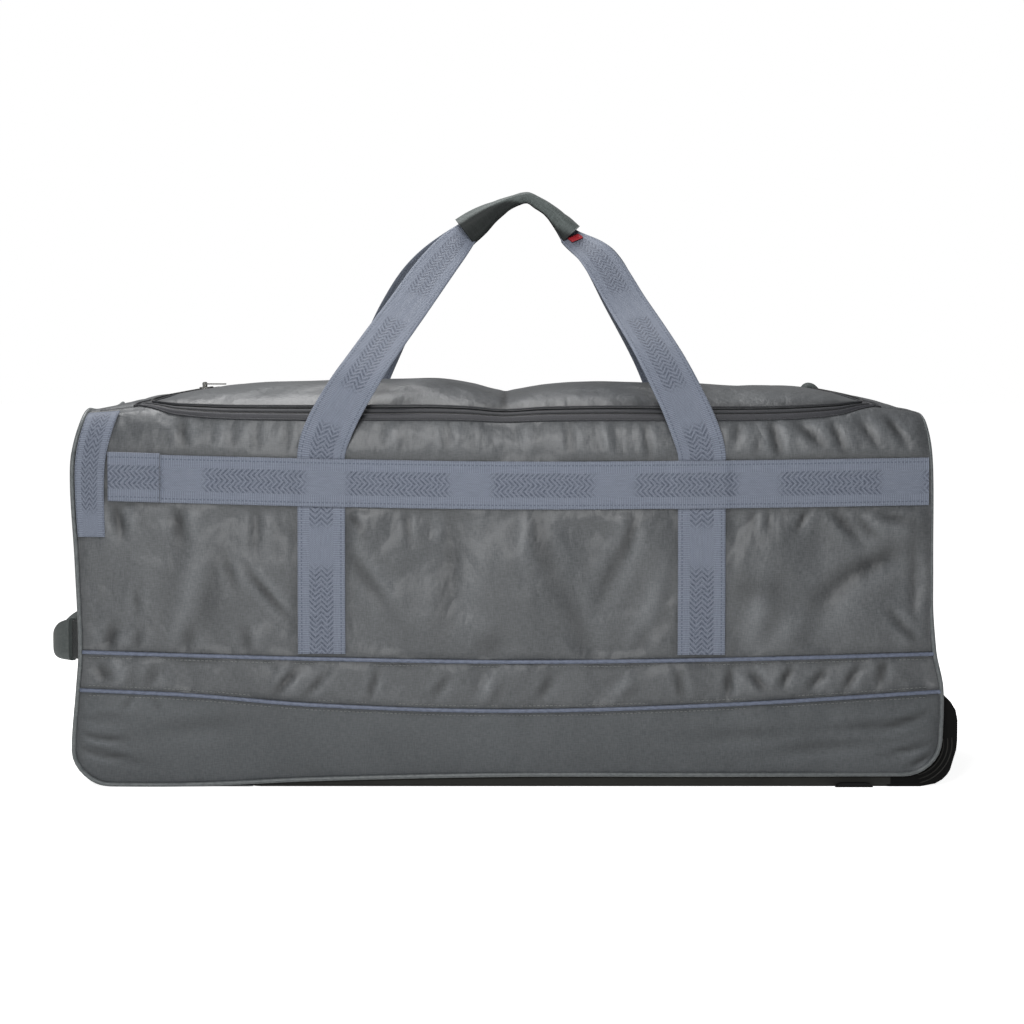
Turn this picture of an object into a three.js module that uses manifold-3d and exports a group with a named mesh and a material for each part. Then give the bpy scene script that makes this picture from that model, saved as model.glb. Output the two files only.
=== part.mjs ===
// Wheeled goalkeeper kit bag: sewn cloth body, webbing handles, zipped lid, two wheels.
// Millimetres. +X runs to the wheel end, -Y is the front, +Z is up.
import * as THREE from "three";
import { mergeVertices } from "three/addons/utils/BufferGeometryUtils.js";
import Module from "manifold-3d";

const wasm = await Module();
wasm.setup();
const { lerp, clamp, smoothstep, degToRad } = THREE.MathUtils;

// Sewn body
const SEAM_DEPTH = 175; // half depth at the end seams
const TOP_HEIGHT = 394; // top edge of the end panels
const FOLD_RADIUS = 50; // soft fold between wall and top
const CORNER_RADIUS = 34; // lower corners seen from the front
const BELLY = 15; // how far the walls swell out
const END_BULGE = 12; // how far the end panels swell out
const CLOTH = 2; // lined cloth wall
const UNDER_LEFT = -5.2; // underside of the left end, on the floor
const UNDER_RIGHT = 0.8; // underside of the right end, over the wheels
const SEAM_INSET = 1.2; // cloth edge back from its seam
const HINGE_GIRTH = 650; // line where the lid joins the back
const SHIFT_X = 13.78; // centres the whole outline on the origin
const SHIFT_Y = 0.93;
const RISE = 6; // the body's girth starts this far above the floor

// Trim
const EDGE_CORD = 2.5; // radius of the edge piping
const ACCENT_CORD = 2.6; // radius of the accent piping
const ACCENT_INSET = 2.3; // cloth edge back from the accent line
const ZIP_HALF = 9.5; // from the zip line to the cloth on either side
const ZIP_SLIT = 0.4;
const ZIP_GROOVE = 1.6; // stitched groove beside each tape
const WEBBING = 50;
const WEBBING_THICK = 1.8;
const LAY = 0.65; // air under a layer of webbing

// Handles
const STRAP_LEFT = -193;
const STRAP_RIGHT = 203;
const TOW_SEAM = 136; // girth where the tow handle meets the end
const TAG_THICK = 2;
const TAG_OUT = 9.5; // from the end of the wrap to the middle of the tag

// Base and wheels
const BASE_LEFT = -273;
const BASE_RIGHT = 403.5;
const BASE_HALF = 171;
const BASE_THICK = 14;
const BASE_EDGE = 3; // rounded edge of the base
const KICK_TOP = 90;
const WHEEL_X = 436;
const WHEEL_Z = 22.8;
const WHEEL_RADIUS = 28.5;
const WHEEL_HALF = 13;
const WHEEL_Y = 150;
const AXLE_RADIUS = 4;
const HOUSING_OUT = 170;
const HOUSING_IN = 130;

// End seams: x of the left and right seam at each girth distance up from the floor
const END_SEAM = [
  { girth: 0, left: -450, right: 450 },
  { girth: 36, left: -453, right: 453 },
  { girth: 98, left: -448, right: 454 },
  { girth: 140, left: -445, right: 446 },
  { girth: 230, left: -448, right: 444 },
  { girth: 330, left: -452, right: 443 },
  { girth: 385, left: -443, right: 438 },
  { girth: 422, left: -439, right: 434 },
  { girth: 548, left: -438, right: 433 },
];

// Lines across the front: lower edge, the two accent seams, the belt's top edge
const FRONT_LINES = [
  { x: -450, bottom: -1.2, low: 97, high: 137, belt: 346 },
  { x: -330, bottom: -1.2, low: 92, high: 134, belt: 343 },
  { x: -200, bottom: 4.5, low: 82, high: 131, belt: 340 },
  { x: 0, bottom: 9, low: 76, high: 128, belt: 337 },
  { x: 220, bottom: 9, low: 82, high: 130, belt: 338 },
  { x: 450, bottom: 9.5, low: 95, high: 135, belt: 341 },
];

// Front run of the zip: girth of its line at each x
const ZIP_FRONT = [
  { x: -387, girth: 415 },
  { x: -345, girth: 391 },
  { x: -250, girth: 382 },
  { x: 0, girth: 381 },
  { x: 250, girth: 382 },
  { x: 345, girth: 390 },
  { x: 387, girth: 413 },
];

// Zip returns: x of the line on each side at each girth
const ZIP_SIDE = [
  { girth: 400, left: -387, right: 387 },
  { girth: 587, left: -337, right: 338 },
  { girth: 650, left: -330, right: 331 },
];
const ZIP_END = 622;

// Height of the lid's crown above the end edges
const CROWN = [
  { x: -440, rise: -8 },
  { x: -412, rise: -2.5 },
  { x: -385, rise: 4 },
  { x: -300, rise: 17 },
  { x: -90, rise: 24 },
  { x: -40, rise: 19 },
  { x: -4, rise: 10 },
  { x: 40, rise: 17 },
  { x: 118, rise: 21 },
  { x: 250, rise: 16 },
  { x: 330, rise: 14 },
  { x: 385, rise: 3.5 },
  { x: 415, rise: -2 },
  { x: 440, rise: -8.5 },
];

// Folds and dents of the front cloth: centre, half length, half width, height, lean from upright
const FOLDS = [
  { x: -330, girth: 215, length: 75, width: 20, depth: 4.0, lean: 14 },
  { x: -268, girth: 250, length: 60, width: 17, depth: -3.5, lean: -8 },
  { x: -395, girth: 185, length: 45, width: 16, depth: -3.5, lean: 30 },
  { x: -120, girth: 225, length: 85, width: 24, depth: 3.0, lean: 6 },
  { x: -20, girth: 210, length: 80, width: 26, depth: -3.0, lean: -10 },
  { x: 85, girth: 240, length: 70, width: 22, depth: 3.2, lean: 12 },
  { x: 145, girth: 190, length: 55, width: 18, depth: -3.0, lean: -18 },
  { x: 290, girth: 235, length: 70, width: 18, depth: 4.5, lean: 24 },
  { x: 345, girth: 205, length: 75, width: 17, depth: -4.5, lean: 34 },
  { x: 398, girth: 215, length: 65, width: 16, depth: 4.5, lean: 28 },
  { x: -60, girth: 360, length: 12, width: 16, depth: -2.5, lean: 0 },
  { x: 45, girth: 360, length: 12, width: 13, depth: 2.5, lean: 20 },
  { x: 120, girth: 360, length: 12, width: 14, depth: -2.5, lean: -15 },
  { x: 300, girth: 362, length: 14, width: 18, depth: 2.5, lean: 40 },
  { x: 285, girth: 108, length: 14, width: 20, depth: 3.0, lean: 40 },
  { x: 360, girth: 112, length: 14, width: 18, depth: -3.0, lean: 35 },
  { x: -345, girth: 40, length: 20, width: 34, depth: -2.5, lean: 60 },
  { x: 350, girth: 48, length: 20, width: 34, depth: -2.5, lean: -60 },
];

// Free part of each handle leg: centre of the webbing, and how far its face has turned to the grip
const LEGS = [
  { leg: "handle_front_left", x: -187, y: -185, z: 366, turn: 0 },
  { leg: "handle_front_left", x: -173, y: -179, z: 395, turn: 0.08 },
  { leg: "handle_front_left", x: -150, y: -160, z: 433, turn: 0.2 },
  { leg: "handle_front_left", x: -104, y: -92, z: 501, turn: 0.5 },
  { leg: "handle_front_left", x: -74, y: -48, z: 545, turn: 0.8 },
  { leg: "handle_front_right", x: 197, y: -185, z: 366, turn: 0 },
  { leg: "handle_front_right", x: 184, y: -179, z: 398, turn: 0.08 },
  { leg: "handle_front_right", x: 159, y: -150, z: 449, turn: 0.2 },
  { leg: "handle_front_right", x: 129, y: -90, z: 501, turn: 0.5 },
  { leg: "handle_front_right", x: 97, y: -44, z: 554, turn: 0.8 },
  { leg: "handle_back_left", x: -184, y: 185, z: 368, turn: 0 },
  { leg: "handle_back_left", x: -169, y: 180, z: 402, turn: 0.08 },
  { leg: "handle_back_left", x: -151, y: 163, z: 440, turn: 0.2 },
  { leg: "handle_back_left", x: -117, y: 100, z: 505, turn: 0.5 },
  { leg: "handle_back_left", x: -86, y: 50, z: 545, turn: 0.8 },
  { leg: "handle_back_right", x: 195, y: 185, z: 368, turn: 0 },
  { leg: "handle_back_right", x: 184, y: 180, z: 402, turn: 0.08 },
  { leg: "handle_back_right", x: 169, y: 163, z: 440, turn: 0.2 },
  { leg: "handle_back_right", x: 138, y: 98, z: 508, turn: 0.5 },
  { leg: "handle_back_right", x: 110, y: 46, z: 560, turn: 0.8 },
];

// Grip: ridge of the wrap, tilt of its section, half width, drop of the flaps, padded thickness
const GRIP = [
  { x: -57, z: 594.5, tilt: 37, half: 25, drop: 34, thick: 7 },
  { x: -36, z: 605.8, tilt: 28, half: 24, drop: 29, thick: 8 },
  { x: -18, z: 613, tilt: 20, half: 23, drop: 21, thick: 8 },
  { x: 4, z: 619.4, tilt: 12, half: 20, drop: 13, thick: 9 },
  { x: 22, z: 623.5, tilt: -4, half: 19, drop: 12, thick: 9 },
  { x: 35, z: 618.4, tilt: -22, half: 20, drop: 13, thick: 9 },
  { x: 49, z: 610.7, tilt: -32, half: 22, drop: 14, thick: 8 },
  { x: 66, z: 598.6, tilt: -41, half: 24, drop: 20, thick: 7 },
  { x: 80, z: 587, tilt: -47, half: 25, drop: 26, thick: 7 },
];

// Half section of the wrap: a roof from the ridge, then a flap that hangs and turns in
const GRIP_SECTION = [
  { share: 0, wide: 0, down: 0 },
  { share: 0.34, wide: 0.66, down: 0.1 },
  { share: 0.67, wide: 1, down: 0.36 },
  { share: 1, wide: 0.86, down: 1 },
];
const FLAP_THICK = 5;

// Tow handle across the left end: out from the end seam, height and width of the webbing
const TOW = [
  { y: -118, out: 8, z: 140, wide: 42 },
  { y: -100, out: 9.3, z: 140, wide: 42 },
  { y: -88, out: 11.5, z: 140, wide: 42 },
  { y: -76, out: 22, z: 139.5, wide: 42 },
  { y: -52, out: 39, z: 136, wide: 36 },
  { y: -26, out: 47.5, z: 132, wide: 24 },
  { y: 0, out: 49.5, z: 131, wide: 17 },
  { y: 26, out: 47.5, z: 132, wide: 24 },
  { y: 52, out: 39, z: 136, wide: 36 },
  { y: 76, out: 22, z: 139.5, wide: 42 },
  { y: 88, out: 11.5, z: 140, wide: 42 },
  { y: 100, out: 9.3, z: 140, wide: 42 },
  { y: 118, out: 8, z: 140, wide: 42 },
];

// Moulded wheel housing seen from the front
const HOUSING = [
  { x: 404, z: -4 },
  { x: 430, z: -4 },
  { x: 447, z: 0 },
  { x: 457, z: 7 },
  { x: 464, z: 18 },
  { x: 466, z: 25 },
  { x: 471, z: 30 },
  { x: 473, z: 38 },
  { x: 473, z: 68 },
  { x: 470, z: 77 },
  { x: 461, z: 85 },
  { x: 453, z: 88.5 },
  { x: 445, z: 88.5 },
  { x: 438, z: 68 },
  { x: 412, z: 66 },
  { x: 404, z: 56 },
];

// Wheel half profile: radius and offset from the mid plane
const WHEEL_PROFILE = [
  { radius: 4.7, off: 12.5 },
  { radius: 9, off: 12.5 },
  { radius: 11, off: 10 },
  { radius: 18, off: 10 },
  { radius: 20, off: 13 },
  { radius: 24.5, off: 13 },
  { radius: 28.5, off: 9 },
];

const SIDE = TOP_HEIGHT - FOLD_RADIUS;
const FOLD = FOLD_RADIUS * (Math.PI / 2);
const HALF_TOP = SEAM_DEPTH - FOLD_RADIUS;
const HALF_GIRTH = SIDE + FOLD + HALF_TOP;

// Smooth value of one column of a table at a given key
function tableAt(rows, key, column, at) {
  const last = rows.length - 1;
  const where = clamp(at, rows[0][key], rows[last][key]);
  let i = 0;
  while (i < last - 1 && where > rows[i + 1][key]) {
    i += 1;
  }
  const slope = (a, b) => (rows[b][column] - rows[a][column]) / (rows[b][key] - rows[a][key]);
  const step = rows[i + 1][key] - rows[i][key];
  const start = slope(Math.max(i - 1, 0), i + 1) * step;
  const end = slope(i, Math.min(i + 2, last)) * step;
  const t = (where - rows[i][key]) / step;
  const rise = rows[i + 1][column] - rows[i][column];
  const bend = start * (t - 2 * t ** 2 + t ** 3) + end * (t ** 3 - t ** 2);
  return rows[i][column] + rise * (3 * t ** 2 - 2 * t ** 3) + bend;
}

const runOf = (girth) => Math.min(girth, 2 * HALF_GIRTH - girth);
const leftSeam = (girth) => tableAt(END_SEAM, "girth", "left", runOf(girth));
const rightSeam = (girth) => tableAt(END_SEAM, "girth", "right", runOf(girth));
const frontLine = (name, x) => tableAt(FRONT_LINES, "x", name, x);
const zipFront = (x) => tableAt(ZIP_FRONT, "x", "girth", x);
const zipLeft = (girth) => tableAt(ZIP_SIDE, "girth", "left", girth);
const zipRight = (girth) => tableAt(ZIP_SIDE, "girth", "right", girth);

// Plain section of the body round its girth: place and outward direction in the YZ plane
function section(girth) {
  const run = runOf(girth);
  const side = girth > HALF_GIRTH ? -1 : 1;
  const turn = clamp((run - SIDE) / FOLD_RADIUS, 0, Math.PI / 2);
  const flat = Math.max(run - SIDE - FOLD, 0);
  const y = -HALF_TOP - FOLD_RADIUS * Math.cos(turn) + flat;
  const z = Math.min(run, SIDE) + FOLD_RADIUS * Math.sin(turn);
  return { y: side * y, z, outY: -side * Math.cos(turn), outZ: Math.sin(turn) };
}

// Sewn webbing, seams and the zip hold the cloth flat
function slack(x, run) {
  const belt = frontLine("belt", x);
  const fromBelt = Math.max(run - belt, belt - WEBBING - run);
  const left = smoothstep(Math.abs(x - STRAP_LEFT), 48, 66);
  const right = smoothstep(Math.abs(x - STRAP_RIGHT), 48, 66);
  const low = smoothstep(Math.abs(run - frontLine("low", x)), 4, 14);
  const high = smoothstep(Math.abs(run - frontLine("high", x)), 4, 14);
  const zip = smoothstep(Math.abs(run - zipFront(x)), ZIP_HALF + 2, ZIP_HALF + 14);
  const ends = smoothstep(Math.min(x - leftSeam(run), rightSeam(run) - x), 4, 26);
  return smoothstep(fromBelt, 5, 18) * left * right * low * high * zip * ends;
}

function foldHeight(x, run) {
  let height = 0;
  for (const fold of FOLDS) {
    const lean = degToRad(fold.lean);
    const dx = x - fold.x;
    const dg = run - fold.girth;
    const along = (dx * Math.sin(lean) + dg * Math.cos(lean)) / fold.length;
    const across = (dx * Math.cos(lean) - dg * Math.sin(lean)) / fold.width;
    height += fold.depth * Math.exp(-along * along - across * across);
  }
  return height * slack(x, run);
}

// How far the filled cloth stands out from the plain section
function swell(x, girth) {
  const run = runOf(girth);
  const middle = 1 - Math.min(Math.abs(x) / 448, 1) ** 2.2;
  const wall = BELLY * middle * Math.sin(Math.PI * clamp(run / (SIDE + 40), 0, 1)) ** 0.9;
  const top = tableAt(CROWN, "x", "rise", x) * smoothstep(run, SIDE - 20, SIDE + FOLD + 60);
  const folds = girth < HALF_GIRTH ? foldHeight(x, run) : 0;
  return wall + top + folds;
}

// Point of the body at x and girth, lifted off the cloth
function onBag(x, girth, lift) {
  const at = section(girth);
  const out = swell(x, girth) + lift;
  return new THREE.Vector3(x, at.y + at.outY * out, at.z + at.outZ * out);
}

// Closed geometry from points and quads, wound outward
function closedGeometry(points, faces) {
  let volume = 0;
  const edge = new THREE.Vector3();
  for (const [a, b, c] of faces) {
    volume += points[a].dot(edge.crossVectors(points[b], points[c]));
  }
  const index = volume < 0 ? faces.map(([a, b, c]) => [a, c, b]) : faces;
  const geometry = new THREE.BufferGeometry().setFromPoints(points);
  geometry.setIndex(index.flat());
  return geometry;
}

// Sheet with thickness: at(column, row, side) gives the outer (0) and inner (1) face
function sheetGeometry(columns, rows, at) {
  const points = [];
  const faces = [];
  for (const side of [0, 1]) {
    for (const u of columns) {
      for (const v of rows) {
        points.push(at(u, v, side));
      }
    }
  }
  const nu = columns.length;
  const nv = rows.length;
  const id = (side, i, j) => (side * nu + i) * nv + j;
  const quad = (a, b, c, d) => faces.push([a, b, c], [a, c, d]);
  for (let i = 0; i + 1 < nu; i++) {
    for (let j = 0; j + 1 < nv; j++) {
      quad(id(0, i, j), id(0, i + 1, j), id(0, i + 1, j + 1), id(0, i, j + 1));
      faces.push([id(1, i, j), id(1, i + 1, j + 1), id(1, i + 1, j)]);
      faces.push([id(1, i, j), id(1, i, j + 1), id(1, i + 1, j + 1)]);
    }
    quad(id(0, i, 0), id(1, i, 0), id(1, i + 1, 0), id(0, i + 1, 0));
    quad(id(0, i, nv - 1), id(0, i + 1, nv - 1), id(1, i + 1, nv - 1), id(1, i, nv - 1));
  }
  for (let j = 0; j + 1 < nv; j++) {
    quad(id(0, 0, j), id(0, 0, j + 1), id(1, 0, j + 1), id(1, 0, j));
    quad(id(0, nu - 1, j), id(1, nu - 1, j), id(1, nu - 1, j + 1), id(0, nu - 1, j + 1));
  }
  return closedGeometry(points, faces);
}

const evenly = (count) => Array.from({ length: count + 1 }, (_, i) => i / count);
const closerAtEnds = (t) => lerp(t, 0.5 - 0.5 * Math.cos(Math.PI * t), 0.5);

// Columns set closer together round the lower corners
function cornerColumns(count) {
  const corner = CORNER_RADIUS / 890;
  const close = [0, 1, 2, 3, 4].map((k) => corner * (1 - Math.cos((k * Math.PI) / 10)));
  const middle = evenly(count).map((u) => lerp(corner, 1 - corner, u));
  return [...close, ...middle, ...close.map((u) => 1 - u).reverse()];
}

// Lower edge of the front or back cloth, rounded up at both corners
function lowerEdge(x, u) {
  const inset = Math.min(u, 1 - u) * 890;
  const reach = Math.max(CORNER_RADIUS - inset, 0);
  return frontLine("bottom", x) + CORNER_RADIUS - Math.sqrt(CORNER_RADIUS ** 2 - reach ** 2);
}

// Girth lines spaced evenly from one line to another
function linesBetween(low, high, count) {
  return evenly(count).map((t) => (x, u) => lerp(low(x, u), high(x, u), t));
}

// Cloth panel of the wrap through a list of girth lines, from seam to seam
function wrapPanel(columns, lines) {
  return sheetGeometry(columns, lines, (u, line, inner) => {
    let x = 0;
    for (let pass = 0; pass < 5; pass++) {
      const girth = line(x, u);
      x = lerp(leftSeam(girth) + SEAM_INSET, rightSeam(girth) - SEAM_INSET, u);
    }
    return onBag(x, line(x, u), inner ? -CLOTH : 0);
  });
}

// Upper edge of the front panel: along the zip, eased lower round its corners
const upperEdge = (x) => zipFront(x) - ZIP_HALF - 1.2 * smoothstep(Math.abs(x), 360, 380);

// Top cloth between a zip return and its end seam
function topStrip(side) {
  return sheetGeometry(evenly(2), evenly(9), (u, v, inner) => {
    const first = upperEdge(side * 450) + SEAM_INSET / 2;
    const girth = lerp(first, HINGE_GIRTH - 0.4, v);
    const seam = side < 0 ? leftSeam(girth) + SEAM_INSET : rightSeam(girth) - SEAM_INSET;
    const zip = side < 0 ? zipLeft(girth) - ZIP_HALF : zipRight(girth) + ZIP_HALF;
    return onBag(lerp(seam, zip, u), girth, inner ? -CLOTH : 0);
  });
}

function lidPanel() {
  return sheetGeometry(evenly(20).map(closerAtEnds), evenly(7), (u, v, inner) => {
    let girth = lerp(420, HINGE_GIRTH, v);
    let x = 0;
    for (let pass = 0; pass < 6; pass++) {
      x = lerp(zipLeft(girth) + ZIP_HALF, zipRight(girth) - ZIP_HALF, u);
      girth = lerp(zipFront(x) + ZIP_HALF, HINGE_GIRTH - 0.4, v);
    }
    return onBag(x, girth, inner ? -CLOTH : 0);
  });
}

// One tape of the U-shaped zip, from near to far of the zip line (inward is positive)
function zipTape(near, far) {
  const runs = [];
  for (const t of evenly(6)) {
    runs.push({ side: -1, girth: (w) => lerp(ZIP_END, zipFront(zipLeft(415) + w) + w, t) });
  }
  for (const t of evenly(24).map(closerAtEnds).slice(1, -1)) {
    runs.push({ side: 0, share: t });
  }
  for (const t of evenly(6)) {
    runs.push({ side: 1, girth: (w) => lerp(zipFront(zipRight(413) - w) + w, ZIP_END, t) });
  }
  const at = (run, w, lift) => {
    if (run.side === 0) {
      const x = lerp(zipLeft(415) + w, zipRight(413) - w, run.share);
      return onBag(x, zipFront(x) + w, lift);
    }
    const girth = run.girth(w);
    const x = run.side < 0 ? zipLeft(girth) + w : zipRight(girth) - w;
    return onBag(x, girth, lift);
  };
  return sheetGeometry(runs, [near, far], (run, w, inner) => at(run, w, inner ? -1.7 : -0.5));
}

// Height of the end outline at half depth y, and its half depth at height z
function endHalfDepth(z) {
  const across = FOLD_RADIUS - CLOTH - 2.2;
  const tall = FOLD_RADIUS - 7.3;
  const up = clamp((z - SIDE) / tall, 0, 1);
  return HALF_TOP + across * Math.sqrt(1 - up ** 2);
}

const runAtHeight = (z) => SIDE + FOLD_RADIUS * Math.asin(clamp((z - SIDE) / FOLD_RADIUS, 0, 1));
const heightToRun = (z) => (z < SIDE ? z : runAtHeight(z));

// Upright part of an end panel at depth y and height z
function onEnd(side, y, z, lift) {
  const half = endHalfDepth(z);
  const seam = side < 0 ? leftSeam(heightToRun(z)) : rightSeam(heightToRun(z));
  const across = 1 - Math.min(Math.abs(y) / half, 1) ** 2;
  const up = Math.sin(Math.PI * clamp((z - 40) / 350, 0, 1)) ** 0.7;
  return new THREE.Vector3(seam + side * (END_BULGE * across * up + lift), y, z);
}

// Lower corner of an end, from the base round to the upright wall
function onCorner(side, y, along, lift) {
  const centre = side < 0 ? leftSeam(50) + CORNER_RADIUS : rightSeam(50) - CORNER_RADIUS;
  const turn = clamp(along / CORNER_RADIUS, 0, Math.PI / 2);
  const radius = CORNER_RADIUS + lift;
  const flat = Math.min(along, 0);
  const floor = side < 0 ? UNDER_LEFT : UNDER_RIGHT;
  const x = centre + side * (radius * Math.sin(turn) + flat);
  return new THREE.Vector3(x, y, CORNER_RADIUS + floor - radius * Math.cos(turn));
}

const QUARTER = CORNER_RADIUS * (Math.PI / 2);

// End cloth: rows below zero height run along the corner and the base
function endPanel(side, rows, half) {
  return sheetGeometry(evenly(6), rows, (u, v, inner) => {
    const lift = inner ? -CLOTH : 0;
    const depth = half ?? SEAM_DEPTH - CLOTH - 0.7;
    if (v.corner !== undefined) {
      return onCorner(side, lerp(-depth, depth, u), v.corner, lift);
    }
    const wide = half ?? endHalfDepth(v.z);
    return onEnd(side, lerp(-wide, wide, u), v.z, lift);
  });
}

// Round cord through a list of points, closed at both ends
function cord(points, radius) {
  const faces = [];
  const rings = [];
  const sides = 6;
  const last = points.length - 1;
  let normal = new THREE.Vector3(0, -1, 0.2);
  points.forEach((point, i) => {
    const along = points[Math.min(i + 1, last)].clone().sub(points[Math.max(i - 1, 0)]).normalize();
    normal = normal.clone().addScaledVector(along, -normal.dot(along)).normalize();
    const other = along.clone().cross(normal);
    for (let k = 0; k < sides; k++) {
      const turn = (k / sides) * Math.PI * 2;
      const spoke = normal.clone().multiplyScalar(Math.cos(turn) * radius);
      rings.push(point.clone().add(spoke).addScaledVector(other, Math.sin(turn) * radius));
    }
  });
  const id = (i, k) => i * sides + (k % sides);
  for (let i = 0; i < last; i++) {
    for (let k = 0; k < sides; k++) {
      faces.push([id(i, k), id(i + 1, k), id(i + 1, k + 1)], [id(i, k), id(i + 1, k + 1), id(i, k + 1)]);
    }
  }
  for (let k = 1; k + 1 < sides; k++) {
    faces.push([id(0, 0), id(0, k), id(0, k + 1)], [id(last, 0), id(last, k + 1), id(last, k)]);
  }
  return closedGeometry(rings, faces);
}

// Seam cord down one end, along the bottom and up the other end of the front (1) or back (-1)
function edgeCord(face, count) {
  const points = [];
  const around = (girth) => (face > 0 ? girth : 2 * HALF_GIRTH - girth);
  const beside = 1.5;
  const upright = [SIDE, 322, 285, 230, 205, 170, 140, 118, 98, 60];
  for (const girth of upright) {
    points.push(onBag(leftSeam(girth) - beside, around(girth), beside));
  }
  for (const u of cornerColumns(count)) {
    const edge = lowerEdge(lerp(-450, 450, u), u);
    const x = lerp(leftSeam(edge), rightSeam(edge), u);
    const inset = Math.min(u, 1 - u) * 890;
    const lean = Math.max(CORNER_RADIUS - inset, 0) / CORNER_RADIUS;
    const girth = edge - beside * Math.sqrt(1 - lean ** 2);
    points.push(onBag(x + Math.sign(x) * beside * lean, around(girth), beside));
  }
  for (const girth of upright.slice().reverse()) {
    points.push(onBag(rightSeam(girth) + beside, around(girth), beside));
  }
  return cord(points, EDGE_CORD);
}

// Seam cord over the top of one end
function topCord(side) {
  const points = [];
  const rise = [0, 0.2, 0.4, 0.6, 0.8, 1].map((t) => SIDE + 1.2 + t * FOLD);
  const over = [0.2, 0.5, 0.8].map((t) => lerp(SIDE + FOLD, 2 * HALF_GIRTH - SIDE - FOLD, t));
  const fall = rise.map((girth) => 2 * HALF_GIRTH - girth).reverse();
  for (const girth of [...rise, ...over, ...fall]) {
    const seam = side < 0 ? leftSeam(girth) - 1.5 : rightSeam(girth) + 1.5;
    points.push(onBag(seam, girth, 1.5));
  }
  return cord(points, EDGE_CORD);
}

function accentCord(line) {
  const points = [];
  for (const u of evenly(20)) {
    const x = lerp(-446, 446, u);
    const girth = frontLine(line, x);
    const reach = lerp(leftSeam(girth) + 3.4, rightSeam(girth) - 3.4, u);
    points.push(onBag(reach, frontLine(line, reach), 1.9));
  }
  return cord(points, ACCENT_CORD);
}

function accentEnd() {
  const points = [];
  for (const t of evenly(8)) {
    const y = lerp(-168, 168, t);
    points.push(onEnd(1, y, KICK_TOP + 2.4, 1.9));
  }
  return cord(points, ACCENT_CORD);
}

// Extra height of a layer where it crosses the handle straps
function overStraps(x) {
  const near = Math.min(Math.abs(x - STRAP_LEFT), Math.abs(x - STRAP_RIGHT));
  return (WEBBING_THICK + LAY) * (1 - smoothstep(near, 27, 34));
}

function beltGeometry() {
  const left = leftSeam(320) + 36;
  const right = rightSeam(320) - SEAM_INSET - 1.8;
  const crossings = [STRAP_LEFT, STRAP_RIGHT].flatMap((x) => [x - 34, x - 27, x + 27, x + 34]);
  const columns = evenly(20).map((u) => lerp(left, right, u));
  const stations = [...columns, ...crossings].sort((a, b) => a - b);
  return sheetGeometry(stations, [0, 0.5, 1], (x, v, inner) => {
    const girth = frontLine("belt", x) - WEBBING * (1 - v);
    return onBag(x, girth, overStraps(x) + (inner ? LAY : LAY + WEBBING_THICK));
  });
}

// Short doubled tab over the left end of the belt
function beltTab() {
  const left = leftSeam(320) + 36.5;
  return sheetGeometry(evenly(4), [0, 0.5, 1], (u, v, inner) => {
    const x = lerp(left, left + 55, u);
    const girth = frontLine("belt", x) + 1.5 - (WEBBING + 1) * (1 - v);
    const base = 2 * LAY + WEBBING_THICK;
    return onBag(x, girth, base + (inner ? 0 : 2.6));
  });
}

const PATCH_ROWS = [0, 0.3, 0.6, 0.68, 0.76, 0.84, 0.92, 1];

// Upright webbing sewn into the left end seam
function cornerPatch() {
  return sheetGeometry(evenly(2), PATCH_ROWS, (u, v, inner) => {
    const girth = lerp(258, 396, v);
    const seam = leftSeam(girth) + SEAM_INSET + 0.3;
    return onBag(seam + u * lerp(29, 34, v), girth, inner ? 0.8 : 4.6);
  });
}

// Flat webbing through stations of centre, across direction and width
function ribbon(stations, thick) {
  const rows = stations.map((station, i) => {
    const before = stations[Math.max(i - 1, 0)].centre;
    const after = stations[Math.min(i + 1, stations.length - 1)].centre;
    const along = station.along ?? after.clone().sub(before).normalize();
    const across = station.across.clone().addScaledVector(along, -station.across.dot(along));
    across.normalize();
    return { ...station, across, face: across.clone().cross(along) };
  });
  return sheetGeometry(rows, [-0.5, 0.5], (row, v, inner) => {
    const point = row.centre.clone().addScaledVector(row.across, v * row.width);
    return point.addScaledVector(row.face, inner ? -thick / 2 : thick / 2);
  });
}

// Frame of the grip's section at one row: ridge, along, depth and outward directions
function gripFrame(row) {
  const tilt = degToRad(row.tilt);
  return {
    ridge: new THREE.Vector3(row.x, 0, row.z),
    along: new THREE.Vector3(Math.cos(tilt), 0, Math.sin(tilt)),
    out: new THREE.Vector3(-Math.sin(tilt), 0, Math.cos(tilt)),
  };
}

// Roof-like section of the padded wrap
function gripWrap() {
  const rows = [];
  for (const t of evenly(10)) {
    const x = lerp(GRIP[0].x, GRIP[GRIP.length - 1].x, t);
    const row = { x };
    for (const column of ["z", "tilt", "half", "drop", "thick"]) {
      row[column] = tableAt(GRIP, "x", column, x);
    }
    rows.push(row);
  }
  return sheetGeometry(rows, evenly(6), (row, v, inner) => {
    const { ridge, out } = gripFrame(row);
    const side = v * 2 - 1;
    const share = Math.abs(side);
    const down = row.drop * tableAt(GRIP_SECTION, "share", "down", share);
    const lower = inner ? row.thick * (1 - share ** 2) : 0;
    const wide = row.half * tableAt(GRIP_SECTION, "share", "wide", share);
    const point = ridge.clone().addScaledVector(out, -down - lower);
    point.y = Math.sign(side) * (inner ? wide - FLAP_THICK * share : wide);
    return point;
  });
}

const PANEL_STATIONS = 8;

// Where a leg meets the grip: its middle, the direction of its width, and the slope of the flap
function legEnd(side, face) {
  const row = GRIP[side < 0 ? 0 : GRIP.length - 1];
  const { ridge, along, out } = gripFrame(row);
  const flap = new THREE.Vector3(0, -face * row.half, 0).addScaledVector(out, -row.drop);
  const slope = flap.length();
  flap.normalize();
  const centre = ridge.addScaledVector(along, side * 0.6).addScaledVector(flap, slope * 0.62);
  centre.addScaledVector(out, -row.thick * 0.5);
  return { centre, flap, along, slope };
}

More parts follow.
